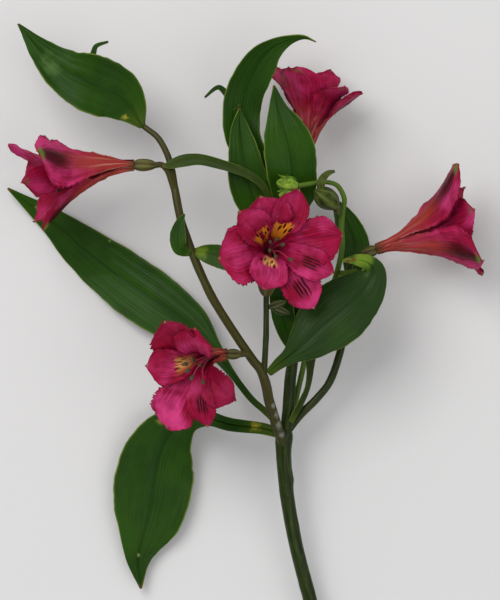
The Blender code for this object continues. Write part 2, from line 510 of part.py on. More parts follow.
def build_stamens(key):
    """The filaments and anthers inside a bloom, on a small disc over its base."""
    bloom = BLOOMS[key]
    out = unit(bloom["leaves"])
    base = np.array(bloom["base"])
    name = "stamens_" + key
    foot = PLUG[-1][0] + SEAT_GAP
    top, stretch = foot + DISC[0], STAMEN_STRETCH[key]
    pieces = [spindle(name + "_disc", base + out * foot, base + out * top, DISC_FORM, DISC[1], sides=6)]
    for number, (azimuth, reach, height) in enumerate(STAMENS):
        rows = [(*bloom_place(bloom, top - DISC[0] / 2, azimuth, DISC[1] / 3)[0], FILAMENT_RADIUS)]
        for share, spread in FILAMENT_FORM:
            spread = max(reach * spread, 1.5 * FILAMENT_RADIUS)
            place, outward, _ = bloom_place(bloom, height * stretch * share, azimuth, spread)
            rows.append((*place, FILAMENT_RADIUS))
        pieces.append(tube(f"{name}_filament_{number}", rows, 5, 0))
        lean = unit(unit(bloom["faces"]) + outward * ANTHER_LEAN) * ANTHER[0]
        anther = (place - lean * ANTHER_HOLD, place + lean)
        pieces.append(spindle(f"{name}_anther_{number}", *anther, ANTHER_FORM, ANTHER[1], sides=4))
    return finish(fuse(name, pieces), ANTHER_GREY)


def build_buds():
    """The closed buds: a yellow-green one, an olive one with its bract, and a cluster of small ones."""
    for name, buds in BUDS.items():
        pieces = [spindle(f"{name}_{number}", base, tip, BUD_FORM, radius, sides=9, rib=0.1, lobes=BUD_LOBES)
                  for number, (base, tip, radius) in enumerate(buds)]
        if name == "bud_olive":
            pieces.append(blade(name + "_bract", BUD_BRACT, SMALL_CELLS, LEAF_THICKNESS, BRACT_CUP))
        finish(fuse(name, pieces), BUD_COLOURS[name])


def main():
    clear_scene()
    build_stem()
    build_leaves()
    for key in BLOOMS:
        build_bloom(key)
        build_ovary(key)
    for key in STAMEN_STRETCH:
        build_stamens(key)
    build_buds()


main()
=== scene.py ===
"""The look of a cut alstroemeria stem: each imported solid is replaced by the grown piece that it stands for.

Routes are in millimetres, from the drawing origin that the solids use, and SHIFT moves them to the middle of
the box. Blades carry a UV map, U running from the base to the tip and V across, and tubes one in which U is a
length. Finishes read that map, the pieces' own attributes, or Object coordinates.
"""

import logging
import math
from dataclasses import dataclass, replace
from enum import Enum
from functools import reduce

import bmesh
import bpy
import numpy as np
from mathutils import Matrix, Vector, noise


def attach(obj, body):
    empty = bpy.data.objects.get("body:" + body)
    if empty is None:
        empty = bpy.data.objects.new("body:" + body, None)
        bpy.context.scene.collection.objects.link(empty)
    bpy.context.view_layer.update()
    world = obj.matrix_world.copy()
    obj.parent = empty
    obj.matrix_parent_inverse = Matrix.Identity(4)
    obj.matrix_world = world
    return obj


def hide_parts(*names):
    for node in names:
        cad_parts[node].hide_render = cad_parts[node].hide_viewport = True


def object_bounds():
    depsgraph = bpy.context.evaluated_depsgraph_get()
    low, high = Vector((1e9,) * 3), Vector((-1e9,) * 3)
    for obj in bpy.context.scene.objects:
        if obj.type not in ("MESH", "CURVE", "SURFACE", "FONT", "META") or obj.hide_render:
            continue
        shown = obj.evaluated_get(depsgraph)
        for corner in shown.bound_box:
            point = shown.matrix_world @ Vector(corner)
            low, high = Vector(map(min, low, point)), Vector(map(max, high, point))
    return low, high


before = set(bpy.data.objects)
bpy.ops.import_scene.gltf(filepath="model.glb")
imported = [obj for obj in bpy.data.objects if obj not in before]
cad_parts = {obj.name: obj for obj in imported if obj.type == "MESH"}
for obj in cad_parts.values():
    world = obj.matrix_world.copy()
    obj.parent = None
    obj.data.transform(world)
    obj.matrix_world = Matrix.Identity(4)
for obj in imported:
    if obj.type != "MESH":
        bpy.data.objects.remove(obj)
CAD_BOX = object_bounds()

LOG = logging.getLogger("alstroemeria")

Row = tuple[float, ...]
Colour = tuple[float, float, float]
Socket = bpy.types.NodeSocket
Value = Socket | float | Row
Material = bpy.types.Material
Spot = tuple[Row, float, Colour]

MM = 0.001
UP = (0.0, 0.0, 1.0)
SHIFT = (0.515, 0.387)  # millimetres, from the drawing origin to the middle of the box
BOX_MARGIN = 0.35  # millimetres that a blade's middle surface keeps inside the box of the solids
EMBED = 1.0  # millimetres that a leaf's base reaches into what carries it
SEAT_GAP = 0.3  # millimetres between an ovary's solid and the solids at its ends
PLUG_LOW = -0.6  # millimetres along a bloom's axis at which the solid of its tepals starts
PEDICEL_REACH = 3.0  # millimetres of pedicel in line with the ovary that it carries
WELD = 0.001  # millimetres within which the points of a tube are one
TUBE_UV_LENGTH = 40.0  # millimetres of a tube in one unit of U
POINT_LENGTH = 0.16  # share of a blade over which its tip narrows
TIP_WIDTH, TEPAL_TIP_WIDTH = 0.5, 0.7  # millimetres, of a leaf and of a tepal at its tip
WIDE_LEAF = 12.0  # millimetres of width from which a leaf has the finer mesh
FINE_SAMPLES = 24  # steps of a smooth curve between two rows
FLAT = 0.01  # radians of cup below which a blade is flat across
TUBE_SIDE, BUD_SIDE = (0.31, 0.17, 0.94), (0.2, 0.1, 0.97)  # ways in which no tube or bud starts
SUBSURFACE_SCALE = 0.001  # metres
# How far red, green and blue light goes in a leaf, a petal, a bud and the pith, as factors.
PLANT_GLOW, PETAL_GLOW = (0.5, 1.0, 0.2), (1.0, 0.1, 0.3)
BUD_GLOW, PITH_GLOW = (0.6, 0.9, 0.2), (0.6, 0.9, 0.3)
MIX_SHARE, MIX_FIRST, MIX_SECOND, MIX_RESULT = 0, 6, 7, 2  # the colour sockets of a Mix node

# Patterns of the smooth noise that makes grown pieces uneven: scales along and across a blade, and seeds.
RUFFLE_SCALE, DRIFT_SCALE, CRINKLE_SCALE = 9.0, (3.1, 0.8), (11.0, 4.5)
EDGE_SEED, DRIFT_SEED, CRINKLE_SEED = 3.1, 11.0, 23.0
FINER, FINER_SHARE, FINER_SEED = 2.3, 0.5, 7.7
TUBE_SCALE = 0.13  # waves of an uneven tube in a millimetre
TEPAL_SEED, TEPAL_STEP, BLOOM_STEP = 40.0, 7, 61


class Face(Enum):
    """The two faces of a tepal."""

    INNER = "inner"
    OUTER = "outer"


class Mark(Enum):
    """How much of an orange patch, a brown blotch and a pale patch a tepal carries."""

    PLAIN = (0.0, 0.0, 0.0)
    PATCH = (1.0, 0.0, 0.0)
    BLOTCH = (0.0, 1.0, 0.0)
    PALE = (0.0, 0.3, 1.0)
    PATCH_PALE = (0.35, 0.0, 0.85)


class Form(Enum):
    """A tepal's rows of (reach from the axis, height along it, width), its cup in degrees and its groove."""

    OUTER_TRUMPET = ([(1.9, 0, 3.4), (2.9, 8, 4.6), (4.9, 17, 7.6), (8.2, 27, 13.5), (13.6, 37, 19),
                      (19.4, 45, 18.5), (23.4, 49.5, 11), (25.4, 51.5, 2.4)], 30, 0.7)
    INNER_TRUMPET = ([(1.8, 0, 3.2), (2.6, 8, 4), (4.2, 17, 6.2), (6.4, 28, 10.5), (10.6, 39, 14.5),
                      (15.6, 47, 14), (19.4, 51.5, 8), (21.2, 53.5, 2)], 30, 0.45)
    OUTER_OPEN = ([(1.9, 0, 3.4), (2.9, 7, 4.6), (4.6, 15, 7.4), (8.6, 22, 11.5), (16, 26.5, 18),
                   (23.5, 28, 18), (28.6, 27.5, 10.5), (31, 26.6, 2.4)], 22, 0.7)
    INNER_OPEN = ([(1.8, 0, 3.2), (2.6, 7, 4), (4.2, 15, 6), (7.6, 22.4, 9.5), (14.6, 27.6, 13.5),
                   (21.6, 29.6, 13), (26.6, 29.8, 7.5), (28.8, 29.4, 2)], 22, 0.45)


@dataclass(frozen=True)
class Ray:
    """One ray or pedicel of the stem, along rows of (x, y, z, radius)."""

    rows: list[Row]
    bloom: str | None  # the bloom that it carries
    tone: float  # how brown it is
    pale: float = 0.0  # how fresh a green it is


@dataclass(frozen=True)
class LeafForm:
    """One leaf, along rows of (x, y, z, width, roll), some with a small hook beside it."""

    rows: list[Row]
    cup: float
    wave: float
    waves: int
    hook: list[Row] | None = None

    @property
    def width(self) -> float:
        """The leaf's greatest width."""
        return max(row[3] for row in self.rows)


@dataclass(frozen=True)
class Tepal:
    """One tepal of a bloom: degrees round the axis, factors for its form's numbers, and how shaded it is."""

    form: Form
    azimuth: float
    reach: float
    width: float
    length: float
    mark: Mark
    shade: float  # from -1 in full light to 1 in shade


@dataclass(frozen=True)
class BloomForm:
    """One bloom, round an axis that starts in one way from its base and bends to the way that it faces."""

    base: Row
    leaves: Row
    faces: Row
    bend: float  # millimetres over which the axis bends
    scale: float  # a factor for the tepals' length
    ovary: tuple[float, float]  # length and radius
    tepals: list[Tepal]
    stamens: float | None = None  # a factor for their length, None where they are hidden
    up: Row = (0.0, 1.0, 0.0)  # the way that azimuth 90 looks

    def place(self, height: float, azimuth: float, reach: float) -> tuple[np.ndarray, ...]:
        """A place round the bent axis.

        Args:
            height: millimetres along the axis.
            azimuth: degrees round it.
            reach: millimetres from it.

        Returns:
            The place, the outward way there and the way across.
        """
        leaves, faces = unit(self.leaves), unit(self.faces)
        share, straight = min(height / self.bend, 1.0), max(height - self.bend, 0.0)
        turned = leaves * (2 * share - share ** 2) + faces * share ** 2
        axis = np.array(self.base) + self.bend / 2 * turned + faces * straight
        ninety = unit(np.array(self.up) - np.dot(self.up, faces) * faces)
        zero, angle = np.cross(ninety, faces), math.radians(azimuth)
        turn = Vector(faces).rotation_difference(Vector(leaves * (1 - share) + faces * share))
        outward = np.array(turn @ Vector(zero * math.cos(angle) + ninety * math.sin(angle)))
        return axis + outward * reach, outward, np.cross(np.array(turn @ Vector(faces)), outward)

    def ovary_ends(self) -> tuple[np.ndarray, np.ndarray]:
        """Finds where the ovary lies.

        Returns:
            Its end on the pedicel and its end under the tepals.
        """
        way = unit(self.leaves)
        end = np.array(self.base) + way * (PLUG_LOW - SEAT_GAP)
        return end - way * self.ovary[0], end


# Routes of the stem, the leaves, the blooms and the buds, as the solids have them.
MAIN_STEM = [(40.5, -160.5, 3.1, 3.1), (36.5, -130, 7, 3.1), (28.8, -99.9, 11, 3.15), (23, -77.4, 14, 3.15),
             (18.8, -54.9, 17, 3.2), (17.1, -36, 20, 3.5), (17.3, -26.5, 21.5, 3.9),
             (17.6, -22.5, 22.2, 2.8)]
RAYS = [
    Ray([(17, -30.5, 22.5, 2.2), (15.3, -26.1, 25, 2.4), (13, -18.9, 29.5, 2.4), (10.3, -9.9, 35, 2.35),
         (9, -3.2, 39, 2.3), (6.6, 3.6, 41.5, 2.2), (2.7, 8.6, 42.5, 2.1), (-6.1, 21.6, 43, 2),
         (-15.3, 36.5, 43, 2), (-22.5, 52.2, 41.5, 1.95), (-26.5, 63, 40.5, 1.9), (-29.3, 71.1, 40, 1.9),
         (-32, 85, 38.5, 1.8), (-33.6, 94.5, 37, 1.6), (-35.8, 101.5, 36, 1.45), (-40, 108.5, 35, 1.4),
         (-46.2, 113.4, 33.6, 1.3)], None, 0.75),
    Ray([(-32.2, 84, 38.8, 1.4), (-33.6, 88.6, 39.2, 1.4), (-35.2, 93, 39.3, 1.4)], "left", 0.9),
    Ray([(8, -0.5, 40.4, 1.4), (8.3, 5.5, 42.4, 1.4), (9, 19, 42.6, 1.35),
         (9.1, 28, 42.2, 1.3)], "centre", 0.35),
    Ray([(3.4, 8.2, 42.4, 1.5)], "lower", 0.9),
    Ray([(17.6, -27, 21.6, 2.8), (19, -16, 23, 2.8), (20, -0.9, 24.5, 2.7), (21.3, 9, 25.5, 2.5),
         (22.6, 25, 26.5, 2.3), (23.4, 42, 27.3, 2.1), (23, 57.6, 28, 2), (22, 68.9, 27.6, 1.9),
         (24, 81, 26.2, 1.6)], "top", 0.2),
    Ray([(17.9, -25, 21, 1.4), (22, -12, 20, 1.35), (25.6, 3.6, 21.5, 1.3), (30, 22, 25.5, 1.3),
         (36.8, 36, 30, 1.3), (41, 47.5, 34, 1.3), (43.2, 59, 37.5, 1.25), (42.9, 68, 40, 1.25),
         (43.4, 75, 42, 1.2), (44.2, 80.5, 44, 1.15), (41, 86.4, 46.5, 1.1), (35.4, 88, 49.4, 1.05),
         (29, 87.2, 51.2, 1.05), (23.2, 86.3, 52, 1.1)], None, 0.25, 0.6),
    Ray([(17.8, -25.5, 22, 1.9), (24.3, -17.1, 22.6, 1.9), (32.4, -9, 23.4, 1.8), (38.3, -0.9, 24, 1.75),
         (42.8, 12.6, 24.6, 1.7), (44.9, 24, 25, 1.6), (45.7, 38, 25, 1.5), (46.2, 46, 25, 1.5),
         (47.4, 51.6, 25.2, 1.5)], "right", 0.35),
]
LEAVES = {
    "leaf_upper_left": LeafForm(
        [(-47.1, 113.9, 33.4, 2.4), (-51.6, 121, 33.6, 16), (-59, 128, 35, 25), (-70.2, 132.8, 37, 27),
         (-81, 138, 36, 21), (-91.8, 146.9, 33, 12), (-102.8, 159.7, 29, 1.2)], 24, 0.9, 3,
        [(-70, 141, 37, 3.6), (-68.6, 146.6, 36.6, 2.6), (-67.2, 149.6, 36.4, 2), (-62, 151.4, 36, 1)]),
    "leaf_long_left": LeafForm(
        [(13.7, -20, 24.8, 2.6), (8, -14.6, 22, 2.8), (1.8, -9, 19.5, 3), (-7, 2.5, 16, 3.6),
         (-15.5, 13.6, 12.4, 9), (-25, 22.8, 9.2, 19.5), (-41, 33.8, 5.4, 27), (-57.4, 45.6, 1, 26),
         (-73.2, 57.9, -0.9, 21), (-89, 71.5, 1.6, 12), (-108.4, 85.9, 6, 1.2)], 16, 0.5, 2),
    "leaf_lower_left": LeafForm(
        [(13.45, -24.6, 22.1, 4.6), (7, -23, 20, 5.4), (-7.2, -21.3, 15.5, 6), (-17, -18.6, 12, 7),
         (-26.5, -19.5, 9.5, 14), (-34.5, -26, 8, 25), (-39.6, -36, 6.5, 33), (-42, -47.5, 5.5, 36),
         (-44.6, -63.9, 5, 31.5), (-48.8, -81.5, 5, 13), (-47.8, -96.2, 6, 1.2)], 14, 0.6, 3),
    "leaf_top_curl": LeafForm(
        [(23.2, 82.7, 27.9, 2.6), (14, 90, 33, 9), (3.8, 98.5, 34, 14), (-1.4, 109, 34, 16.5),
         (-1.9, 120.6, 34, 17.5), (0.6, 131, 36.5, 17.5), (6.8, 142.4, 41, 15.5, 10),
         (12.5, 148.4, 43.5, 10, 25), (19.5, 151.9, 45, 5.5, 40), (26, 153, 45, 2.8, 40),
         (31.3, 151, 44, 1.2, 40)], 24, 0.7, 2,
        [(-4, 121.5, 34.6, 4), (-9.8, 129.2, 33, 2.8), (-13.2, 130.8, 32.8, 2), (-18.6, 126.4, 32.6, 1)]),
    "leaf_upright_left": LeafForm(
        [(20.2, 66.4, 29.4, 2.6), (15, 68.2, 33, 5), (9.9, 71.5, 36, 10), (4.4, 79, 38.5, 17),
         (0.9, 89.1, 40, 18), (-0.9, 100.4, 40.5, 14.5), (-2.6, 111.6, 40, 9),
         (-2.8, 121.5, 39, 1.2)], 24, 0.5, 2),
    "leaf_upright_right": LeafForm(
        [(22.6, 70.4, 29.6, 2.8), (22.2, 75, 36, 9), (21.5, 81, 42, 18), (20.8, 91, 46.5, 22.6),
         (19.4, 102.6, 48.5, 23.4), (17, 112, 48.5, 18.5), (14.4, 121, 47, 9),
         (12.6, 131.4, 44.5, 1.2)], 20, 0.5, 2),
    "leaf_hooded": LeafForm(
        [(10.6, 2.7, 43.1, 3.4), (14.6, 6.4, 46, 5.4), (19.5, 10, 48.5, 8), (27, 16.2, 50.5, 19),
         (35.2, 24.4, 51, 28), (44.8, 32.4, 50, 28.5), (53.4, 40.6, 47, 21), (57, 47.6, 46, 12),
         (54.6, 51.8, 48.5, 7), (49.6, 53, 51, 5), (43, 52.8, 51.6, 1.6)], -26, 0.6, 2),
    "leaf_behind_right": LeafForm(
        [(46.4, 43, 22.6, 2.6), (48.4, 49.5, 20, 9), (49.4, 58, 18.4, 13.5), (46.9, 66.5, 18, 13),
         (43.4, 74.5, 19, 8), (38.5, 82, 20.5, 1.2)], 16, 0.4, 1),
    "leaf_behind_centre": LeafForm(
        [(20.9, 12.4, 28.7, 2.6), (18.6, 20.5, 32, 8.5), (16.4, 30, 34.5, 10.5), (15.4, 41, 36.5, 9),
         (16, 51.5, 38, 1.2)], 16, 0.4, 1),
    "leaf_small_node": LeafForm(
        [(-25.8, 56.4, 43.4, 2.6), (-29.6, 58.4, 44.8, 6.6), (-30.6, 64, 44.6, 7.2),
         (-29.6, 69.6, 44.2, 4.6), (-27.7, 73.8, 43.6, 1.2)], 16, 0.2, 1),
    "leaf_cross": LeafForm(
        [(-21.9, 56.6, 43.1, 3.4), (-18.2, 56, 44.4, 8), (-11.7, 54.6, 45.4, 10.5), (-5, 52.2, 46.2, 9.5),
         (0, 50.4, 46.8, 5.5), (3.6, 49.4, 47.2, 1.2)], 14, 0.3, 1),
    "leaf_ribbon": LeafForm(
        [(20.6, 60.4, 30, 2.2), (15.6, 67, 38, 2.4), (11.8, 75.5, 43.5, 2.5), (9.6, 83, 46, 2.7),
         (5.6, 88.4, 46.6, 3.2), (-0.6, 92.2, 46.4, 3.8), (-9.5, 95.4, 45.6, 4.4), (-20.7, 98.2, 43.6, 5),
         (-28.5, 97.6, 42.4, 5.6), (-34.2, 95.9, 42, 3.6), (-37.6, 95.2, 42, 1.2)], 10, 0.3, 2),
    "leaf_twisted": LeafForm(
        [(20.5, -19.4, 25.8, 2.4), (24.3, -12.2, 27.4, 3, 20), (27.6, -4.5, 29, 3, 45),
         (28.9, 3.6, 31, 3.4, 20), (28.8, 11.4, 33, 5.4), (28.2, 19, 34.5, 1.4)], 10, 0.2, 1),
    "bract_folded": LeafForm(
        [(42.2, 47, 34.9, 2.4), (44.8, 46, 36.6, 5), (47.2, 46.6, 37.6, 5),
         (49.8, 49, 38.2, 1.2)], 24, 0.2, 1),
}
BLOOMS = {
    "left": BloomForm(
        (-50.4, 95.8, 39.4), (-1, 0, 0.02), (-0.965, -0.24, 0.1), 20, 0.98, (8.4, 2.7),
        [Tepal(Form.OUTER_TRUMPET, 31, 1.06, 1.5, 0.84, Mark.BLOTCH, -0.5),
         Tepal(Form.OUTER_TRUMPET, 172, 0.9, 1.2, 0.96, Mark.PLAIN, 0.6),
         Tepal(Form.OUTER_TRUMPET, 286, 0.87, 1.1, 0.94, Mark.BLOTCH, 0.3),
         Tepal(Form.INNER_TRUMPET, 6, 0.86, 0.85, 1, Mark.PATCH, 0.2),
         Tepal(Form.INNER_TRUMPET, 108, 1, 1.25, 1, Mark.PATCH, -0.9),
         Tepal(Form.INNER_TRUMPET, 232, 1, 1.2, 0.94, Mark.PLAIN, 0.1)], 1.15),
    "centre": BloomForm(
        (9.8, 48.6, 48.6), (0.05, 0.93, 0.36), (0.2, -0.08, 0.97), 24, 1, (10.6, 4.3),
        [Tepal(Form.OUTER_OPEN, 108, 0.78, 1.2, 1, Mark.PLAIN, 0.5),
         Tepal(Form.INNER_OPEN, 70, 0.98, 1.2, 1, Mark.PATCH, 0.4),
         Tepal(Form.OUTER_OPEN, 10, 1, 1.15, 1, Mark.PLAIN, 0),
         Tepal(Form.INNER_OPEN, 336, 0.98, 1.1, 1, Mark.BLOTCH, -0.4),
         Tepal(Form.OUTER_OPEN, 303, 1.06, 0.95, 1, Mark.BLOTCH, -0.6),
         Tepal(Form.INNER_OPEN, 252, 0.68, 1.4, 1, Mark.PALE, -0.4),
         Tepal(Form.OUTER_OPEN, 191, 0.86, 1.45, 1, Mark.PLAIN, -0.15),
         Tepal(Form.INNER_OPEN, 138, 0.84, 1.2, 1, Mark.PATCH, 0.35)], 0.98),
    "lower": BloomForm(
        (-8.8, 10.7, 46.8), (-0.96, -0.02, 0.26), (-0.42, -0.4, 0.82), 18, 0.86, (5.4, 2.3),
        [Tepal(Form.OUTER_OPEN, 114, 0.8, 1.3, 1, Mark.PLAIN, 0.9),
         Tepal(Form.INNER_OPEN, 74, 0.74, 1.4, 1, Mark.PLAIN, -0.1),
         Tepal(Form.INNER_OPEN, 174, 0.78, 1.38, 1, Mark.PATCH_PALE, 0.1),
         Tepal(Form.OUTER_OPEN, 236, 1.16, 1.15, 1, Mark.PLAIN, -1),
         Tepal(Form.INNER_OPEN, 275, 0.98, 1.05, 1, Mark.BLOTCH, 0.2),
         Tepal(Form.OUTER_OPEN, 318, 0.78, 1, 1, Mark.PLAIN, 0.8)], 0.86),
    "right": BloomForm(
        (58.9, 58, 25.3), (0.94, 0.34, 0), (0.968, 0.252, 0), 20, 0.87, (5.4, 2.5),
        [Tepal(Form.OUTER_TRUMPET, 122, 1.26, 1.45, 1, Mark.BLOTCH, -0.5),
         Tepal(Form.OUTER_TRUMPET, 222, 1.06, 1.35, 1, Mark.BLOTCH, -0.2),
         Tepal(Form.OUTER_TRUMPET, 350, 1, 1.15, 1, Mark.PLAIN, 0.3),
         Tepal(Form.INNER_TRUMPET, 50, 1, 1.15, 1, Mark.PATCH, 0.2),
         Tepal(Form.INNER_TRUMPET, 166, 1.1, 1.4, 1, Mark.PATCH, -0.35),
         Tepal(Form.INNER_TRUMPET, 286, 1.18, 1.4, 0.95, Mark.PLAIN, 0.1)], 1.2),
    "top": BloomForm(
        (27.8, 103.4, 24.4), (0.1, 0.99, 0), (0.12, 0.98, 0.1), 12, 0.66, (8.6, 2.7),
        [Tepal(Form.OUTER_TRUMPET, 186, 0.86, 1.1, 0.82, Mark.BLOTCH, 0.2),
         Tepal(Form.OUTER_TRUMPET, 60, 0.76, 1.4, 1.1, Mark.PLAIN, 0.1),
         Tepal(Form.OUTER_TRUMPET, 310, 1.2, 1, 1, Mark.PLAIN, 0.4),
         Tepal(Form.INNER_TRUMPET, 134, 0.9, 1.25, 0.88, Mark.PATCH, 0.2),
         Tepal(Form.INNER_TRUMPET, 10, 0.66, 1.1, 1, Mark.PATCH, 0.3),
         Tepal(Form.INNER_TRUMPET, 250, 0.9, 1.1, 1, Mark.PLAIN, 0.4)], up=UP),
}
OVARY_FORM = [(0, 0.45), (0.2, 0.8), (0.5, 1), (0.8, 0.9), (1, 0.6)]
STAMENS = [(20, 3, 26), (85, 3, 25.5), (140, 3.4, 28), (205, 2.8, 27), (262, 3.6, 29), (318, 7.4, 31)]
FILAMENT_FORM = [(0.35, 0.12), (0.7, 0.4), (1, 1)]
BUD_FORM = [(0, 0.4), (0.2, 0.85), (0.45, 1), (0.7, 0.8), (0.9, 0.42), (1, 0.14)]
BUDS = {
    "bud_yellow": [((22.6, 86.3, 52.1), (13.6, 87.6, 53), 3.6),
                   ((20.4, 85.2, 52.2), (14.8, 81.6, 53.4), 2.2)],
    "bud_olive": [((41.8, 74.2, 44.2), (39.7, 78.5, 47.3), 2.1),
                  ((40.4, 77.4, 46.8), (30.8, 84.2, 54), 4.9)],
    "buds_small": [((10.8, 32, 42.1), (18, 34.6, 41.4), 2.2), ((12.6, 31.4, 42), (19.6, 29, 41.2), 1.9)],
}
BUD_BRACT = [(33.6, 83, 53, 3.4), (33.8, 88.2, 55, 3.8), (36.4, 91.6, 54, 2.8), (39.8, 92.8, 53.4, 1.2)]
ANTHER = (1.9, 0.85)  # length past the filament's tip, and radius
ANTHER_FORM = [(-0.5, 0.3), (-0.2, 0.75), (0.3, 0.9), (0.8, 0.75), (1.1, 0.3)]
SCALE_FORM = [(0.0, 0.72, 0.7), (0.2, 1.02, 1.0), (0.42, 1.06, 0.8), (0.58, 1.2, 0.2)]  # share, reach, width


def unit(vector: np.ndarray | Row) -> np.ndarray:
    """The vector, or each vector of a stack, at length 1."""
    vector = np.asarray(vector, float)
    return vector / np.maximum(np.linalg.norm(vector, axis=-1, keepdims=True), 1e-9)


def smooth_rows(rows: list[Row], count: int) -> np.ndarray:
    """Reads rows at even steps along a smooth curve through them.

    Args:
        rows: rows that start with a place.
        count: how many rows to read.

    Returns:
        The rows read, as an array.
    """
    table = np.array(rows, float)
    ends = np.vstack([2 * table[0] - table[1], table, 2 * table[-1] - table[-2]])
    dense = []
    for before, start, end, after in zip(ends, ends[1:], ends[2:], ends[3:]):
        for share in np.linspace(0, 1, FINE_SAMPLES, endpoint=False):
            dense.append(0.5 * (2 * start + (end - before) * share
                                + (2 * before - 5 * start + 4 * end - after) * share ** 2
                                + (3 * start - before - 3 * end + after) * share ** 3))
    dense = np.array(dense + [table[-1]])
    length = lengths(dense)
    wanted = np.linspace(0, length[-1], count)
    return np.column_stack([np.interp(wanted, length, column) for column in dense.T])


def lengths(line: np.ndarray) -> np.ndarray:
    """The length along a line at each of its rows."""
    return np.concatenate([[0], np.cumsum(np.linalg.norm(np.diff(line[:, :3], axis=0), axis=1))])


def along_line(start: np.ndarray, end: np.ndarray, radius: float, form: list[Row]) -> list[Row]:
    """Rows of a straight tube from shares of its length and of its radius."""
    return [(*(start + (end - start) * share), radius * size) for share, size in form]


def wobble(first: float, second: float, seed: float) -> float:
    """Smooth noise from about -1 to 1, the same at each run."""
    finer = noise.noise(Vector((FINER * first, FINER * second, seed + FINER_SEED)))
    return noise.noise(Vector((first, second, seed))) + FINER_SHARE * finer


class Sculpt:
    """One bmesh that takes the blades and tubes of a piece, with their UV map and attributes."""

    # The fourth mark holds how brown a stem part is, and each tepal's painted shade.
    MARKS = ("patch", "blotch", "pale", "tone", "ends")

    def __init__(self) -> None:
        """Starts an empty bmesh with its layers."""
        self.bm = bmesh.new()
        self.uv = self.bm.loops.layers.uv.new("UVMap")
        self.layers = {name: self.bm.verts.layers.float.new(name) for name in self.MARKS}

    def grid(self, places: np.ndarray, across_uv: np.ndarray, along_uv: np.ndarray,
             marks: dict[str, float]) -> list[bmesh.types.BMVert]:
        """Adds a grid and moves each of its points to its place.

        Args:
            places: millimetres, by station along and then by place across.
            across_uv: V of each place across.
            along_uv: U of each station.
            marks: a value for each named attribute.

        Returns:
            The grid's points.
        """
        along, across = places.shape[0] - 1, places.shape[1] - 1
        made = bmesh.ops.create_grid(self.bm, x_segments=along, y_segments=across, size=1)["verts"]
        where = {vert: (round((vert.co.x + 1) / 2 * along), round((vert.co.y + 1) / 2 * across))
                 for vert in made}
        for face in {face for vert in made for face in vert.link_faces}:
            face.smooth = True
            for loop in face.loops:
                station, place = where[loop.vert]
                loop[self.uv].uv = (along_uv[station], across_uv[place])
        for vert, (station, place) in where.items():
            vert.co = Vector(places[station, place] * MM)
            for name, value in marks.items():
                vert[self.layers[name]] = value
        return made

    def piece(self, name: str, node: str, materials: list[Material],
              thickness: float | None = None) -> bpy.types.Object:
        """Turns the bmesh into a finished piece that stands for a solid.

        Args:
            name: the piece's name.
            node: the solid that it replaces.
            materials: its finishes, the second one for the back of a blade.
            thickness: millimetres that its blades are thick, or None for a closed body.

        Returns:
            The object, at the origin.
        """
        bmesh.ops.translate(self.bm, vec=(SHIFT[0] * MM, SHIFT[1] * MM, 0), verts=self.bm.verts)
        low, high = (np.array(corner) for corner in CAD_BOX)
        edge = BOX_MARGIN * MM
        for vert in self.bm.verts:
            vert.co = Vector(np.clip(np.array(vert.co), low + edge, high - edge))
        mesh = bpy.data.meshes.new(name)
        self.bm.to_mesh(mesh)
        self.bm.free()
        obj = bpy.data.objects.new(name, mesh)
        bpy.context.scene.collection.objects.link(obj)
        for made in materials:
            mesh.materials.append(made)
        if thickness is not None:
            solid = obj.modifiers.new("thickness", "SOLIDIFY")
            solid.thickness = thickness * MM
            solid.offset = 0.0
            solid.use_even_offset = False
            solid.material_offset = 1
            solid.material_offset_rim = 0
        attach(obj, "root")
        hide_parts(node)
        LOG.info("%s stands for %s with %d faces", name, node, len(mesh.polygons))
        return obj


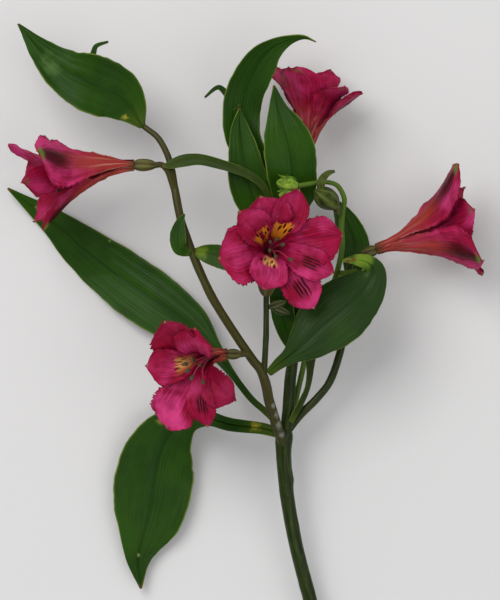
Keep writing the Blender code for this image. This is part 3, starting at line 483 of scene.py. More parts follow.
@dataclass
class Blade:
    """A thin living blade along rows of (x, y, z, width, roll), with three more values for the way across it.

    The roll may be left out. Heights are in millimetres, and ragged is a share of the width.
    """

    rows: list[Row]
    cup: float  # degrees that each half turns up
    wave: float = 0.0
    waves: int = 1
    cells: tuple[int, int] = (84, 30)
    groove: float = 0.0
    crease_width: float = 0.12
    ribs: int = 0
    rib_height: float = 0.0
    ragged: float = 0.0
    rag_scale: float = 26.0
    ruffle: float = 0.0
    drift: float = 0.0
    crinkle: float = 0.0
    point: float = 0.0
    seed: float = 0.0

    def relief(self, step: float, share: float, edge_seed: float) -> float:
        """How far a place stands off the evenly cupped face.

        Args:
            step: how far along the blade, from 0 to 1.
            share: how far across it, from -1 to 1.
            edge_seed: the seed of that half.

        Returns:
            Millimetres, from its waves, ruffles, swells, crinkles, midrib and ribs.
        """
        rise = self.wave * share ** 2 * math.sin(2 * math.pi * self.waves * step + share)
        ruffle = wobble(step * RUFFLE_SCALE, share, edge_seed)
        rise += self.ruffle * abs(share) ** 3 * ruffle * min(1, 3 * step)
        rise += self.drift * wobble(step * DRIFT_SCALE[0], share * DRIFT_SCALE[1], self.seed + DRIFT_SEED)
        crinkle = wobble(step * CRINKLE_SCALE[0], share * CRINKLE_SCALE[1], self.seed + CRINKLE_SEED)
        rise += self.crinkle * crinkle * min(1, 2 * step)
        rise -= self.groove * math.exp(-(share / self.crease_width) ** 2) * min(1, 6 * (1 - step))
        ribs = math.cos(self.ribs * math.pi * share)
        return rise + self.rib_height * ribs * min(1, 5 * (1 - step), 5 * step)

    def places(self) -> np.ndarray:
        """Works out the middle surface.

        Returns:
            Places in millimetres, by station along and place across.
        """
        along, across = self.cells
        line = smooth_rows([(*row, 0.0) if len(row) == 4 else row for row in self.rows], along + 1)
        forward = unit(np.gradient(line[:, :3], axis=0))
        side = line[:, 5:] if line.shape[1] > 5 else np.cross(np.array(UP), forward)
        side = unit(side - np.sum(side * forward, axis=1, keepdims=True) * forward)
        face = np.cross(forward, side)
        roll = np.radians(line[:, 4])[:, None]
        cos, sin = np.cos(roll), np.sin(roll)
        side, face = side * cos + face * sin, face * cos - side * sin
        cup = math.radians(self.cup)
        made = np.zeros((along + 1, across + 1, 3))
        for station in range(along + 1):
            step = station / along
            tip = min(1.0, (1 - step) / POINT_LENGTH) ** self.point
            for place, share in enumerate(np.linspace(-1, 1, across + 1)):
                edge_seed = self.seed + (EDGE_SEED if share > 0 else 0.0)
                rag = self.ragged * abs(share) * wobble(step * self.rag_scale, 0.0, edge_seed)
                half = line[station, 3] / 2 * (tip * (1 + rag * min(1, 4 * step)))
                sideways, rise = half * share, 0.0
                if abs(cup) > FLAT:
                    sideways = half * math.sin(cup * share) / cup
                    rise = half * (1 - math.cos(cup * share)) / cup
                rise += self.relief(step, share, edge_seed)
                made[station, place] = line[station, :3] + side[station] * sideways + face[station] * rise
        return made

    def into(self, sculpt: Sculpt, marks: dict[str, float]) -> None:
        """Adds the blade to a piece, with U from the base to the tip and V across."""
        along, across = self.cells
        sculpt.grid(self.places(), np.linspace(0, 1, across + 1), np.linspace(0, 1, along + 1), marks)


@dataclass
class Tube:
    """A round body along rows of (x, y, z, radius), closed at its ends.

    Its rib and uneven values are shares of the radius, and bumps are (x, y, z, height, spread).
    """

    rows: list[Row]
    count: int = 60
    sides: int = 16
    ribs: int = 0
    rib: float = 0.0
    uneven: float = 0.0
    bumps: tuple[Row, ...] = ()
    seed: float = 0.0

    def into(self, sculpt: Sculpt, marks: dict[str, float], cut_material: int = 0) -> None:
        """Adds the tube to a piece, with U along it as a length and V round it.

        Args:
            sculpt: the piece.
            marks: a value for each named attribute.
            cut_material: the slot that the first end takes.
        """
        line = smooth_rows(self.rows, self.count)
        forward = unit(np.gradient(line[:, :3], axis=0))
        normal = unit(np.cross(forward[0], TUBE_SIDE))
        length = lengths(line)
        places = np.zeros((self.count, self.sides + 1, 3))
        for station in range(self.count):
            normal = unit(normal - np.dot(normal, forward[station]) * forward[station])
            other = np.cross(forward[station], normal)
            for place, angle in enumerate(np.linspace(0, 2 * math.pi, self.sides + 1)):
                way = normal * math.cos(angle) + other * math.sin(angle)
                reach = line[station, 3] * (1 + self.rib * math.cos(self.ribs * angle))
                reach *= 1 + self.uneven * wobble(length[station] * TUBE_SCALE, math.cos(angle), self.seed)
                spot = line[station, :3] + way * reach
                for x, y, z, height, spread in self.bumps:
                    spot = spot + way * height * math.exp(-(np.linalg.norm(spot - (x, y, z)) / spread) ** 2)
                places[station, place] = spot
        verts = sculpt.grid(places, np.linspace(0, 1, self.sides + 1), length / TUBE_UV_LENGTH, marks)
        bmesh.ops.remove_doubles(sculpt.bm, verts=verts, dist=WELD * MM)
        rims = {edge for vert in verts if vert.is_valid for edge in vert.link_edges if edge.is_boundary}
        caps = bmesh.ops.holes_fill(sculpt.bm, edges=list(rims), sides=0)["faces"]
        start = Vector(line[0, :3] * MM)
        for face in caps:
            near_start = (face.calc_center_median() - start).length < line[0, 3] * MM
            face.material_index = cut_material if near_start else 0
            face.smooth = False
        faces = {face for vert in verts if vert.is_valid for face in vert.link_faces}
        bmesh.ops.recalc_face_normals(sculpt.bm, faces=list(faces))


class Board:
    """A Principled material that is wired with short calls, its colour laid on in layers."""

    def __init__(self, name: str, roughness: float, specular: float = 0.5, subsurface: float = 0.0,
                 radius: Colour = (1.0, 1.0, 1.0)) -> None:
        """Starts a material whose constant values are on its shader's own sockets.

        Args:
            name: the material's name.
            roughness: how dull it is.
            specular: how strongly it mirrors.
            subsurface: how much light passes under its surface.
            radius: how far each colour of that light goes.
        """
        self.material = bpy.data.materials.new(name)
        self.material.use_nodes = True
        self.tree = self.material.node_tree
        self.shader = self.tree.nodes["Principled BSDF"]
        self.shader.inputs["Roughness"].default_value = roughness
        self.shader.inputs["Specular IOR Level"].default_value = specular
        self.shader.inputs["Subsurface Weight"].default_value = subsurface
        self.shader.inputs["Subsurface Radius"].default_value = radius
        self.shader.inputs["Subsurface Scale"].default_value = SUBSURFACE_SCALE
        coordinates = self.node("ShaderNodeTexCoord", {})
        self.uv, self.place = coordinates.outputs["UV"], coordinates.outputs["Object"]
        parts = self.node("ShaderNodeSeparateXYZ", {0: self.uv})
        self.along, self.across = parts.outputs[0], parts.outputs[1]
        self.colour: Value = (1.0, 1.0, 1.0)

    def node(self, kind: str, inputs: dict[int | str, Value], **settings: str) -> bpy.types.Node:
        """Adds a node.

        Args:
            kind: its type.
            inputs: what each of its inputs is linked or set to.
            settings: its own settings.

        Returns:
            The node.
        """
        node = self.tree.nodes.new(kind)
        for name, value in settings.items():
            setattr(node, name, value)
        for key, value in inputs.items():
            socket = node.inputs[key]
            if isinstance(value, bpy.types.NodeSocket):
                self.tree.links.new(value, socket)
            else:
                socket.default_value = (*value, 1.0) if socket.type == "RGBA" else value
        return node

    def math(self, operation: str, first: Value, second: Value = 0.0) -> Socket:
        """A Math node of two values."""
        return self.node("ShaderNodeMath", {0: first, 1: second}, operation=operation).outputs[0]

    def plus(self, first: Value, second: Value) -> Socket:
        """The sum of two values."""
        return self.math("ADD", first, second)

    def times(self, *values: Value) -> Socket:
        """The product of the values."""
        return reduce(lambda total, value: self.math("MULTIPLY", total, value), values)

    def about(self, value: Socket, by: float) -> Socket:
        """How far a value lies from 0.5, times a factor."""
        return self.times(self.math("SUBTRACT", value, 0.5), by)

    def ramp(self, value: Socket, low: float, high: float, start: float = 0.0, end: float = 1.0) -> Socket:
        """A soft step: start below low, end above high."""
        inputs = {"Value": value, "From Min": low, "From Max": high, "To Min": start, "To Max": end}
        return self.node("ShaderNodeMapRange", inputs, interpolation_type="SMOOTHSTEP").outputs[0]

    def fall(self, value: Socket, low: float, high: float, start: float = 1.0) -> Socket:
        """A soft step down, from start below low to 0 above high."""
        return self.ramp(value, low, high, start, 0.0)

    def window(self, value: Socket, span: tuple[float, float], soft: float) -> Socket:
        """1 within a span, falling softly to 0 outside it."""
        low, high = span
        return self.times(self.ramp(value, low - soft, low), self.fall(value, high, high + soft))

    def noise(self, scale: float, detail: float = 2.0, vector: Socket | None = None) -> Socket:
        """Noise from 0 to 1, on Object coordinates or on a vector."""
        inputs = {"Vector": vector or self.place, "Scale": scale, "Detail": detail}
        return self.node("ShaderNodeTexNoise", inputs).outputs[0]

    def scaled_uv(self, along: float, across: float) -> Socket:
        """The UV map, with a factor for each way."""
        inputs = {0: self.uv, 1: (along, across, 1.0)}
        return self.node("ShaderNodeVectorMath", inputs, operation="MULTIPLY").outputs[0]

    def grain(self, along: float, across: float, detail: float) -> Socket:
        """Noise from 0 to 1, in streaks on the UV map."""
        return self.noise(1.0, detail, self.scaled_uv(along, across))

    def cells(self, scale: float, vector: Socket | None = None) -> Socket:
        """Distance to the nearest of scattered points, on Object coordinates or on a vector."""
        inputs = {"Vector": vector or self.place, "Scale": scale}
        return self.node("ShaderNodeTexVoronoi", inputs).outputs["Distance"]

    def mark(self, name: str) -> Socket:
        """The piece's own attribute of that name."""
        return self.node("ShaderNodeAttribute", {}, attribute_name=name).outputs["Fac"]

    def mix(self, share: Value, first: Value, second: Value) -> Socket:
        """The first colour where share is 0 and the second where it is 1."""
        inputs = {MIX_SHARE: share, MIX_FIRST: first, MIX_SECOND: second}
        return self.node("ShaderNodeMix", inputs, data_type="RGBA").outputs[MIX_RESULT]

    def over(self, tint: Value, *shares: Value) -> None:
        """Lays a tint over the colour so far, as far as the product of its shares."""
        self.colour = self.mix(self.times(*shares), self.colour, tint)

    def lines(self, count: float, power: float, warp: float = 0.004) -> Socket:
        """Thin parallel lines along the surface.

        Args:
            count: how many there are across it.
            power: how thin they are.
            warp: how far they stray.

        Returns:
            1 on a line and 0 between them.
        """
        drift = self.about(self.grain(5.0, 2.0, 2.0), warp * 4)
        turn = self.times(self.plus(self.across, drift), 2 * math.pi * count)
        return self.math("POWER", self.plus(self.times(self.math("COSINE", turn), 0.5), 0.5), power)

    def edge(self) -> Socket:
        """0 along the middle of a blade and 1 along its edges."""
        return self.times(self.math("ABSOLUTE", self.math("SUBTRACT", self.across, 0.5)), 2.0)

    def spot(self, place: Row, radius: float) -> Socket:
        """An uneven spot.

        Args:
            place: its middle, in millimetres.
            radius: its radius, in millimetres.

        Returns:
            Its strength, falling to 0 at about the radius.
        """
        middle = ((place[0] + SHIFT[0]) * MM, (place[1] + SHIFT[1]) * MM, place[2] * MM)
        away = self.node("ShaderNodeVectorMath", {0: self.place, 1: middle}, operation="DISTANCE")
        uneven = self.about(self.noise(1.2 / (radius * MM), 3.0), 1.8 * radius * MM)
        return self.fall(self.plus(away.outputs["Value"], uneven), 0.1 * radius * MM, radius * MM, 0.85)

    def finish(self, height: Socket, strength: float, distance: float) -> Material:
        """Wires the colour and the relief.

        Args:
            height: the relief, from 0 to 1.
            strength: the relief's strength.
            distance: the relief's depth in millimetres.

        Returns:
            The material.
        """
        inputs = {"Strength": strength, "Distance": distance * MM, "Height": height}
        bump = self.node("ShaderNodeBump", inputs)
        self.tree.links.new(self.colour, self.shader.inputs["Base Color"])
        self.tree.links.new(bump.outputs[0], self.shader.inputs["Normal"])
        return self.material


@dataclass(frozen=True)
class LeafFinish:
    """A leaf's face: green with fine parallel veins, a thin pale rim, a dry tip and spots of its own, some of
    them painted highlights.
    """

    name: str = "leaf"
    dark: Colour = (0.006, 0.026, 0.0008)
    mid: Colour = (0.016, 0.055, 0.002)
    vein: Colour = (0.034, 0.096, 0.005)
    rim: Colour = (0.13, 0.18, 0.02)
    base: Colour = (0.05, 0.085, 0.008)
    dry: Colour = (0.12, 0.07, 0.02)
    veins: float = 18.0
    roughness: float = 0.34
    spots: tuple[Spot, ...] = ()

    def make(self) -> Material:
        """Builds the material.

        Returns:
            The material.
        """
        board = Board(self.name, self.roughness, specular=0.09, subsurface=0.04, radius=PLANT_GLOW)
        along, edge, fibre = board.along, board.edge(), board.grain(5.0, 130.0, 3.0)
        veins = board.lines(self.veins, 5.0)
        board.colour = board.mix(board.ramp(board.noise(42.0, 3.0), 0.34, 0.68), self.dark, self.mid)
        board.over(self.vein, board.ramp(fibre, 0.42, 0.7), 0.32)
        board.over(self.vein, veins, 0.24)
        board.over(self.vein, board.lines(self.veins * 4, 2.0), 0.14)
        board.over(self.dark, board.fall(edge, 0.02, 0.07), 0.6)
        board.over(self.base, board.fall(along, 0.02, 0.16, 0.75))
        patchy = board.ramp(board.noise(150.0), 0.3, 0.6, 0.35, 1.0)
        board.over(self.rim, board.ramp(edge, 0.955, 0.985), patchy)
        board.over(self.dry, board.ramp(along, 0.975, 1.0, 0.0, 0.8))
        # Spots: marks of the leaf's own, and on the upper left leaf painted highlights.
        for place, radius, tint in self.spots:
            board.over(tint, board.spot(place, radius))
        return board.finish(board.plus(board.times(veins, 0.6), board.times(fibre, 0.5)), 0.45, 0.2)


@dataclass(frozen=True)
class TepalFinish:
    """One face of the tepals: magenta with lengthwise streaks, painted shade and painted highlights, its
    patch, blotch and green tip.

    The spans say where along a tepal a mark lies.
    """

    name: str
    face: Face
    base: Colour = (0.4, 0.004, 0.054)
    # The light colour makes lighter streaks, painted patches of light and a painted highlight.
    light: Colour = (0.64, 0.05, 0.21)
    # The deep colour makes dark streaks, veins, mottling and edges, and the painted shade of shaded tepals.
    deep_and_shade: Colour = (0.16, 0.002, 0.012)
    brown: Colour = (0.035, 0.002, 0.0015)
    orange: Colour = (0.6, 0.2, 0.014)
    cream: Colour = (0.62, 0.33, 0.1)
    green: Colour = (0.13, 0.19, 0.025)
    # The colour of the painted shadow in the throat.
    painted_throat_shadow: Colour = (0.13, 0.02, 0.012)
    point: Colour = (0.25, 0.27, 0.06)
    tube_brown: Colour = (0.3, 0.04, 0.016)
    tube_pale: Colour = (0.62, 0.3, 0.24)
    foot: Colour = (0.08, 0.06, 0.012)
    patch_span: tuple[float, float] = (0.4, 0.62)
    cream_span: tuple[float, float] = (0.46, 0.6)
    dash_span: tuple[float, float] = (0.42, 0.7)
    blotch_span: tuple[float, float] = (0.66, 0.8)

    def make(self) -> Material:
        """Builds the material.

        Returns:
            The material.
        """
        board = Board(self.name, 0.45, specular=0.07, subsurface=0.1, radius=PETAL_GLOW)
        edge, tone = board.edge(), board.mark("tone")
        fibre, cloud = board.grain(2.6, 44.0, 4.0), board.noise(90.0)
        veins = board.lines(15.0, 7.0, 0.012)
        board.colour = board.mix(board.ramp(fibre, 0.36, 0.66), self.deep_and_shade, self.base)
        # Painted patches of light: the lit colour laid on in cloudy patches.
        board.over(self.light, board.ramp(cloud, 0.4, 0.72), 0.5)
        board.over(self.light, board.ramp(board.grain(4.0, 90.0, 2.0), 0.56, 0.74), 0.45)
        board.over(self.deep_and_shade, veins, 0.42)
        # Painted shade: each tepal is darkened as far as its shade value.
        board.over(self.deep_and_shade, board.ramp(tone, 0.0, 1.0, 0.0, 0.6))
        # Painted highlight: tepals in full light get the lit colour on their outer half, in gleaming patches.
        gleam = board.ramp(board.plus(board.times(cloud, 0.6), board.times(fibre, 0.4)), 0.38, 0.6)
        board.over(self.light, board.fall(tone, -1.0, 0.0, 0.9), board.ramp(board.along, 0.3, 0.7), gleam)
        board.over(self.deep_and_shade, board.ramp(board.noise(130.0, 3.0), 0.5, 0.72, 0.0, 0.45))
        ragged = board.plus(edge, board.about(board.noise(500.0), 0.14))
        board.over(self.deep_and_shade, board.ramp(ragged, 0.9, 1.0), 0.6)
        if self.face is Face.INNER:
            self.throat(board, edge, fibre)
        else:
            self.tube(board, edge, fibre)
        return board.finish(board.plus(board.times(fibre, 0.8), board.times(veins, -0.4)), 0.7, 0.35)

    def throat(self, board: Board, edge: Socket, fibre: Socket) -> None:
        """Lays on the inner face's painted throat shadow, orange patch with its dashes, blotch and small pale
        point.

        Args:
            board: the material.
            edge: 0 along the middle and 1 along the edges.
            fibre: the streaks.
        """
        # Painted shadow: the throat is darkened towards the base of each inner tepal.
        board.over(self.painted_throat_shadow, board.fall(board.along, 0.16, 0.38, 0.8))
        along = board.plus(board.along, board.about(fibre, 0.3))
        patch, pale = board.mark("patch"), board.mark("pale")
        board.over(self.orange, patch, board.window(along, self.patch_span, 0.04),
                   board.fall(edge, 0.45, 0.75), 0.95)
        board.over(self.cream, pale, board.window(along, self.cream_span, 0.05), board.fall(edge, 0.2, 0.55))
        marked = board.times(board.math("MAXIMUM", patch, board.times(pale, 0.8)),
                             board.window(board.along, self.dash_span, 0.04), board.fall(edge, 0.6, 0.85))
        board.over(self.brown, marked, board.fall(board.cells(1.0, board.scaled_uv(8.0, 9.0)), 0.28, 0.36))
        blotch = board.times(board.mark("blotch"), board.window(along, self.blotch_span, 0.06),
                             board.fall(edge, 0.22, 0.5))
        board.over(self.brown, blotch, board.ramp(board.lines(11.0, 1.0, 0.02), 0.25, 0.5, 0.35, 1.0))
        board.over(self.point, board.ramp(board.along, 0.965, 0.99), board.fall(edge, 0.25, 0.7, 0.9))

    def tube(self, board: Board, edge: Socket, fibre: Socket) -> None:
        """Lays on the outer face's orange-brown tube with pale stripes, brown streak and green tip.

        Args:
            board: the material.
            edge: 0 along the middle and 1 along the edges.
            fibre: the streaks.
        """
        along, blotch = board.along, board.mark("blotch")
        middle = board.times(board.fall(edge, 0.1, 0.7), blotch, 0.3)
        board.over(self.tube_brown, board.fall(board.math("SUBTRACT", along, middle), 0.16, 0.62), 0.72)
        board.over(self.tube_pale, board.fall(along, 0.1, 0.55), board.lines(3.0, 4.0, 0.02),
                   board.ramp(fibre, 0.35, 0.6), 0.8)
        board.over(self.foot, board.fall(along, 0.0, 0.1, 0.8))
        spread, reach = board.plus(edge, board.times(fibre, 0.7)), board.plus(along, board.about(fibre, 0.35))
        keel = board.times(board.ramp(reach, 0.48, 0.76), board.fall(along, 0.95, 1.0),
                           board.fall(spread, 0.5, 0.95))
        board.over(self.brown, keel, board.ramp(blotch, 0.0, 1.0, 0.2, 0.95))
        tip = board.times(board.ramp(along, 0.9, 0.96), board.fall(edge, 0.3, 0.75))
        board.over(self.green, tip, board.ramp(blotch, 0.0, 1.0, 0.3, 0.95))


@dataclass(frozen=True)
class StemFinish:
    """A fresh stem: green that turns olive-brown as far as each part is brown, with fine streaks, pale flecks
    and a painted highlight on one ray.
    """

    name: str = "fresh_stem"
    green: Colour = (0.022, 0.04, 0.004)
    dark: Colour = (0.008, 0.013, 0.0012)
    brown: Colour = (0.05, 0.04, 0.009)
    pale: Colour = (0.11, 0.14, 0.035)
    fresh: Colour = (0.11, 0.2, 0.02)
    # Painted highlight: a silvery streak laid as spots along the top of the long left ray, places in
    # millimetres.
    highlight_tint: Colour = (0.26, 0.28, 0.24)
    highlight_spots: tuple[Row, ...] = ((12.9, -12.5, 35.8), (14.0, -17.0, 33.2), (15.2, -21.5, 30.4),
                              (16.3, -26.0, 27.6))
    highlight_radius: float = 2.4

    def make(self) -> Material:
        """Builds the material.

        Returns:
            The material.
        """
        board = Board(self.name, 0.3, specular=0.14, subsurface=0.04, radius=PLANT_GLOW)
        fibre = board.grain(3.0, 14.0, 4.0)
        board.colour = board.mix(board.ramp(fibre, 0.34, 0.66), self.dark, self.green)
        tone = board.plus(board.mark("tone"), board.about(board.noise(60.0), 0.7))
        board.over(self.brown, board.ramp(tone, 0.15, 0.95, 0.0, 0.85))
        board.over(self.pale, board.ramp(fibre, 0.6, 0.78), 0.4)
        board.over(self.fresh, board.mark("pale"))
        # Painted highlight along the top of the long left ray.
        for place in self.highlight_spots:
            board.over(self.highlight_tint, board.spot(place, self.highlight_radius), 0.7)
        board.over(self.pale, board.fall(board.cells(420.0), 0.1, 0.2), 0.2)
        return board.finish(fibre, 0.4, 0.18)


@dataclass(frozen=True)
class GrownFinish:
    """A small grown body, such as an ovary, a bud or an anther: streaked, with a colour for its ends."""

    name: str
    foot: Colour
    body: Colour
    light: Colour
    scale: float = 120.0
    ends: Colour | None = None

    def make(self) -> Material:
        """Builds the material.

        Returns:
            The material.
        """
        board = Board(self.name, 0.42, specular=0.12, subsurface=0.06, radius=BUD_GLOW)
        fibre, cloud = board.grain(3.0, 22.0, 3.0), board.noise(self.scale, 3.0)
        board.colour = board.mix(board.ramp(cloud, 0.36, 0.66), self.foot, self.body)
        board.over(self.light, board.lines(6.0, 3.0, 0.01), 0.55)
        board.over(self.light, board.ramp(fibre, 0.55, 0.75), 0.5)
        if self.ends is not None:
            board.over(self.ends, board.mark("ends"))
        return board.finish(board.plus(fibre, cloud), 0.35, 0.2)


@dataclass(frozen=True)
class CutFinish:
    """The fresh cut across the stem: pale pith with darker strands scattered across it."""

    name: str = "fresh_cut"
    pith: Colour = (0.42, 0.46, 0.2)
    strand: Colour = (0.12, 0.16, 0.05)

    def make(self) -> Material:
        """Builds the material.

        Returns:
            The material.
        """
        board = Board(self.name, 0.55, subsurface=0.1, radius=PITH_GLOW)
        strands = board.fall(board.cells(900.0), 0.2, 0.4)
        board.colour = board.mix(strands, self.pith, self.strand)
        return board.finish(strands, 0.4, 0.15)


@dataclass
class Stem:
    """The main stem with its rays and pedicels, cut at its lower end."""

    cells: tuple[int, int] = (190, 26)
    tone: float = 0.12
    ray_sides: int = 18
    ray_density: float = 0.9  # stations in a millimetre
    ray_least: int = 30
    rib: float = 0.012
    nodes: tuple[Row, ...] = ((21.6, -45.9, 18.2, 0.55, 2.6), (19.8, -43.0, 20.0, 0.4, 1.6),
                              (25.9, -95.5, 14.0, 0.6, 2.2), (14.8, -30.0, 24.5, 0.5, 2.4))

    def ray(self, ray: Ray, number: int) -> Tube:
        """The tube of one ray, its end in line with the ovary that it carries.

        Args:
            ray: its rows.
            number: its place in the list.

        Returns:
            The tube.
        """
        rows = list(ray.rows)
        length = sum(math.dist(a[:3], b[:3]) for a, b in zip(rows, rows[1:]))
        if ray.bloom is not None:
            bloom, radius = BLOOMS[ray.bloom], rows[-1][3]
            way = unit(bloom.leaves)
            seat = bloom.ovary_ends()[0] - way * SEAT_GAP
            rows += [(*(seat - way * PEDICEL_REACH), radius), (*seat, radius)]
        count = max(self.ray_least, round(length * self.ray_density))
        return Tube(rows, count, self.ray_sides, ribs=8, rib=self.rib, uneven=0.05, seed=4.0 + number)

    def build(self) -> None:
        """Builds the piece that stands for the stem."""
        sculpt = Sculpt()
        stalk = Tube(MAIN_STEM, *self.cells, ribs=11, rib=self.rib, uneven=0.035, bumps=self.nodes, seed=1.5)
        stalk.into(sculpt, {"tone": self.tone}, cut_material=1)
        for number, ray in enumerate(RAYS):
            self.ray(ray, number).into(sculpt, {"tone": ray.tone, "pale": ray.pale})
        sculpt.piece("stem_with_rays", "stem", [StemFinish().make(), CutFinish().make()])


@dataclass
class Leaves:
    """The leaves and the folded bract, each with veins to suit its width."""

    thickness: float = 0.5
    wide_cells: tuple[int, int] = (110, 32)
    narrow_cells: tuple[int, int] = (70, 16)
    hook_cells: tuple[int, int] = (30, 12)
    hook_cup: float = 10.0
    relief: Row = (0.03, 0.0035, 0.012, 0.02)  # groove, ribs, ruffle and drift, as shares of a leaf's width
    veins: float = 0.75  # veins in a millimetre of width
    least_veins: float = 4.0

    def blade(self, leaf: LeafForm, number: int) -> Blade:
        """The blade of one leaf, its base reaching into what carries it.

        Args:
            leaf: its form.
            number: its place in the list.

        Returns:
            The blade.
        """
        rows = list(leaf.rows)
        start = np.array(rows[0][:3])
        back = start - unit(np.array(rows[1][:3]) - start) * EMBED
        rows[0] = (*back, *rows[0][3:])
        rows[-1] = (*rows[-1][:3], TIP_WIDTH, *rows[-1][4:])
        groove, rib_height, ruffle, drift = (share * leaf.width for share in self.relief)
        cells, ribs = (self.wide_cells, 7) if leaf.width > WIDE_LEAF else (self.narrow_cells, 3)
        return Blade(rows, leaf.cup, leaf.wave, leaf.waves, cells, groove, crease_width=0.1, ribs=ribs,
                     rib_height=rib_height, ragged=0.035, rag_scale=15.0, ruffle=ruffle, drift=drift,
                     seed=10.0 + number)

    def build(self) -> None:
        """Builds each leaf and the bract."""
        for number, (name, leaf) in enumerate(LEAVES.items()):
            sculpt = Sculpt()
            self.blade(leaf, number).into(sculpt, {})
            if leaf.hook:
                Blade(leaf.hook, self.hook_cup, cells=self.hook_cells, seed=3.0).into(sculpt, {})
            veins = max(self.least_veins, round(leaf.width * self.veins))
            faces = zip(("upper", "under"), LEAF_FINISHES.get(name, LEAF_FINISHES["other"]))
            materials = [replace(finish, name=f"{name}_{side}", veins=veins).make() for side, finish in faces]
            sculpt.piece(name + "_blade", name, materials, self.thickness)


@dataclass
class Bloom:
    """One open bloom: its tepals, its ovary and its stamens."""

    key: str
    thickness: float = 0.36
    cells: tuple[int, int] = (78, 28)
    filament: tuple[float, float] = (0.42, 0.16)  # its radius, and how much of that it loses along its length
    filament_start: tuple[float, float] = (2.3, 0.3)  # along the axis and from it
    filament_spread: float = 0.6
    lean: float = 0.6  # how far the anthers lean outwards

    @property
    def form(self) -> BloomForm:
        """The bloom's row in the table."""
        return BLOOMS[self.key]

    def tepal(self, number: int) -> Blade:
        """The blade of one tepal.

        Args:
            number: its place in the bloom's list.

        Returns:
            The blade.
        """
        tepal = self.form.tepals[number]
        form, cup, groove = tepal.form.value
        rows = []
        for radius, height, width in form:
            share = height / form[-1][1]
            radius *= 1 + (tepal.reach - 1) * share
            place, _, across = self.form.place(height * self.form.scale * tepal.length, tepal.azimuth, radius)
            rows.append((*place, width * (1 + (tepal.width - 1) * share), 0.0, *across))
        rows[-1] = (*rows[-1][:3], TEPAL_TIP_WIDTH, *rows[-1][4:])
        seed = TEPAL_SEED + TEPAL_STEP * number + BLOOM_STEP * list(BLOOMS).index(self.key)
        return Blade(rows, cup, wave=0.8, waves=2, cells=self.cells, groove=groove, crease_width=0.16, ribs=7,
                     rib_height=0.1, crinkle=0.26, ragged=0.12, rag_scale=56.0, ruffle=1.3, drift=0.6,
                     point=0.34, seed=seed)

    def build_tepals(self, finishes: list[Material]) -> None:
        """Builds the tepals.

        Args:
            finishes: the materials of the inner and the outer face.
        """
        sculpt = Sculpt()
        for number, tepal in enumerate(self.form.tepals):
            patch, blotch, pale = tepal.mark.value
            # Each tepal's shade value is stored for its painted shade and light.
            marks = {"patch": patch, "blotch": blotch, "pale": pale, "tone": tepal.shade}
            self.tepal(number).into(sculpt, marks)
        sculpt.piece(f"{self.key}_tepals", f"bloom_{self.key}", finishes, self.thickness)

    def build_ovary(self, finish: Material) -> None:
        """Builds the ribbed ovary, seated in its pedicel and in the tepals.

        Args:
            finish: its material.
        """
        start, end = self.form.ovary_ends()
        way = unit(self.form.leaves)
        start, end = start - way * SEAT_GAP * 2, end + way * SEAT_GAP * 4
        sculpt = Sculpt()
        rows = along_line(start, end, self.form.ovary[1], OVARY_FORM)
        Tube(rows, 34, 48, ribs=6, rib=0.09, uneven=0.05, seed=2.0).into(sculpt, {})
        sculpt.piece(f"{self.key}_ovary", f"ovary_{self.key}", [finish])

    def build_stamens(self, finish: Material) -> None:
        """Builds the filaments and their anthers.

        Args:
            finish: their material.
        """
        sculpt = Sculpt()
        thick, taper = self.filament
        for number, (azimuth, reach, height) in enumerate(STAMENS):
            start, near = self.filament_start
            rows = [(*self.form.place(start, azimuth, near)[0], thick)]
            for share, spread in FILAMENT_FORM:
                spread = max(reach * spread, self.filament_spread)
                place, outward, _ = self.form.place(height * self.form.stamens * share, azimuth, spread)
                rows.append((*place, thick - taper * share))
            Tube(rows, 28, 8, seed=number).into(sculpt, {"ends": 0.0})
            way = unit(unit(self.form.faces) + outward * self.lean) * ANTHER[0]
            anther = along_line(place, place + way, ANTHER[1], ANTHER_FORM)
            Tube(anther, 16, 20, ribs=2, rib=0.2, uneven=0.25, seed=5.0 + number).into(sculpt, {"ends": 1.0})
        sculpt.piece(f"{self.key}_stamens", f"stamens_{self.key}", [finish])


@dataclass
class Buds:
    """The closed buds, with the narrow bract of the olive one and the pointed scales of the yellow ones."""

    lobes: int = 3
    rib: float = 0.1
    scales: int = 7
    scale_turn: float = 2.4  # radians from one scale to the next
    scale_starts: Row = (0.04, 0.23, 0.42)  # shares of a bud's length
    scale_width: float = 0.8
    scale_cells: tuple[int, int] = (14, 6)
    bract_cells: tuple[int, int] = (36, 12)

    def scale(self, base: np.ndarray, tip: np.ndarray, radius: float, number: int) -> Blade:
        """One pointed scale, lying along a bud and standing off at its tip.

        Args:
            base: the bud's base.
            tip: the bud's tip.
            radius: the bud's radius.
            number: the scale's place in their order round the bud.

        Returns:
            The scale's blade.
        """
        azimuth, start = number * self.scale_turn, self.scale_starts[number % 3]
        way = unit(tip - base)
        side = unit(np.cross(way, BUD_SIDE))
        out = side * math.cos(azimuth) + np.cross(way, side) * math.sin(azimuth)
        rows = []
        for share, reach, width in SCALE_FORM:
            place = base + (tip - base) * (start + share) + out * radius * reach
            rows.append((*place, width * radius * self.scale_width, 0.0, *np.cross(way, out)))
        return Blade(rows, 30, cells=self.scale_cells, groove=0.08, seed=azimuth)

    def build(self) -> None:
        """Builds each node of buds."""
        for name, buds in BUDS.items():
            sculpt = Sculpt()
            for number, (base, tip, radius) in enumerate(buds):
                base, tip = np.array(base), np.array(tip)
                base = base - unit(tip - base) * SEAT_GAP * 2
                body = Tube(along_line(base, tip, radius, BUD_FORM), 44, 48, ribs=self.lobes, rib=self.rib,
                            uneven=0.06, seed=8.0 + number)
                body.into(sculpt, {"tone": 0.3})
                for scale in range(self.scales if name == "bud_yellow" else 0):
                    self.scale(base, tip, radius, scale).into(sculpt, {"ends": 0.5 * (scale % 2)})
            if name == "bud_olive":
                Blade(BUD_BRACT, 20, cells=self.bract_cells, groove=0.1, seed=6.0).into(sculpt, {})
            sculpt.piece(name + "_closed", name, [BUD_FINISHES[name].make()])


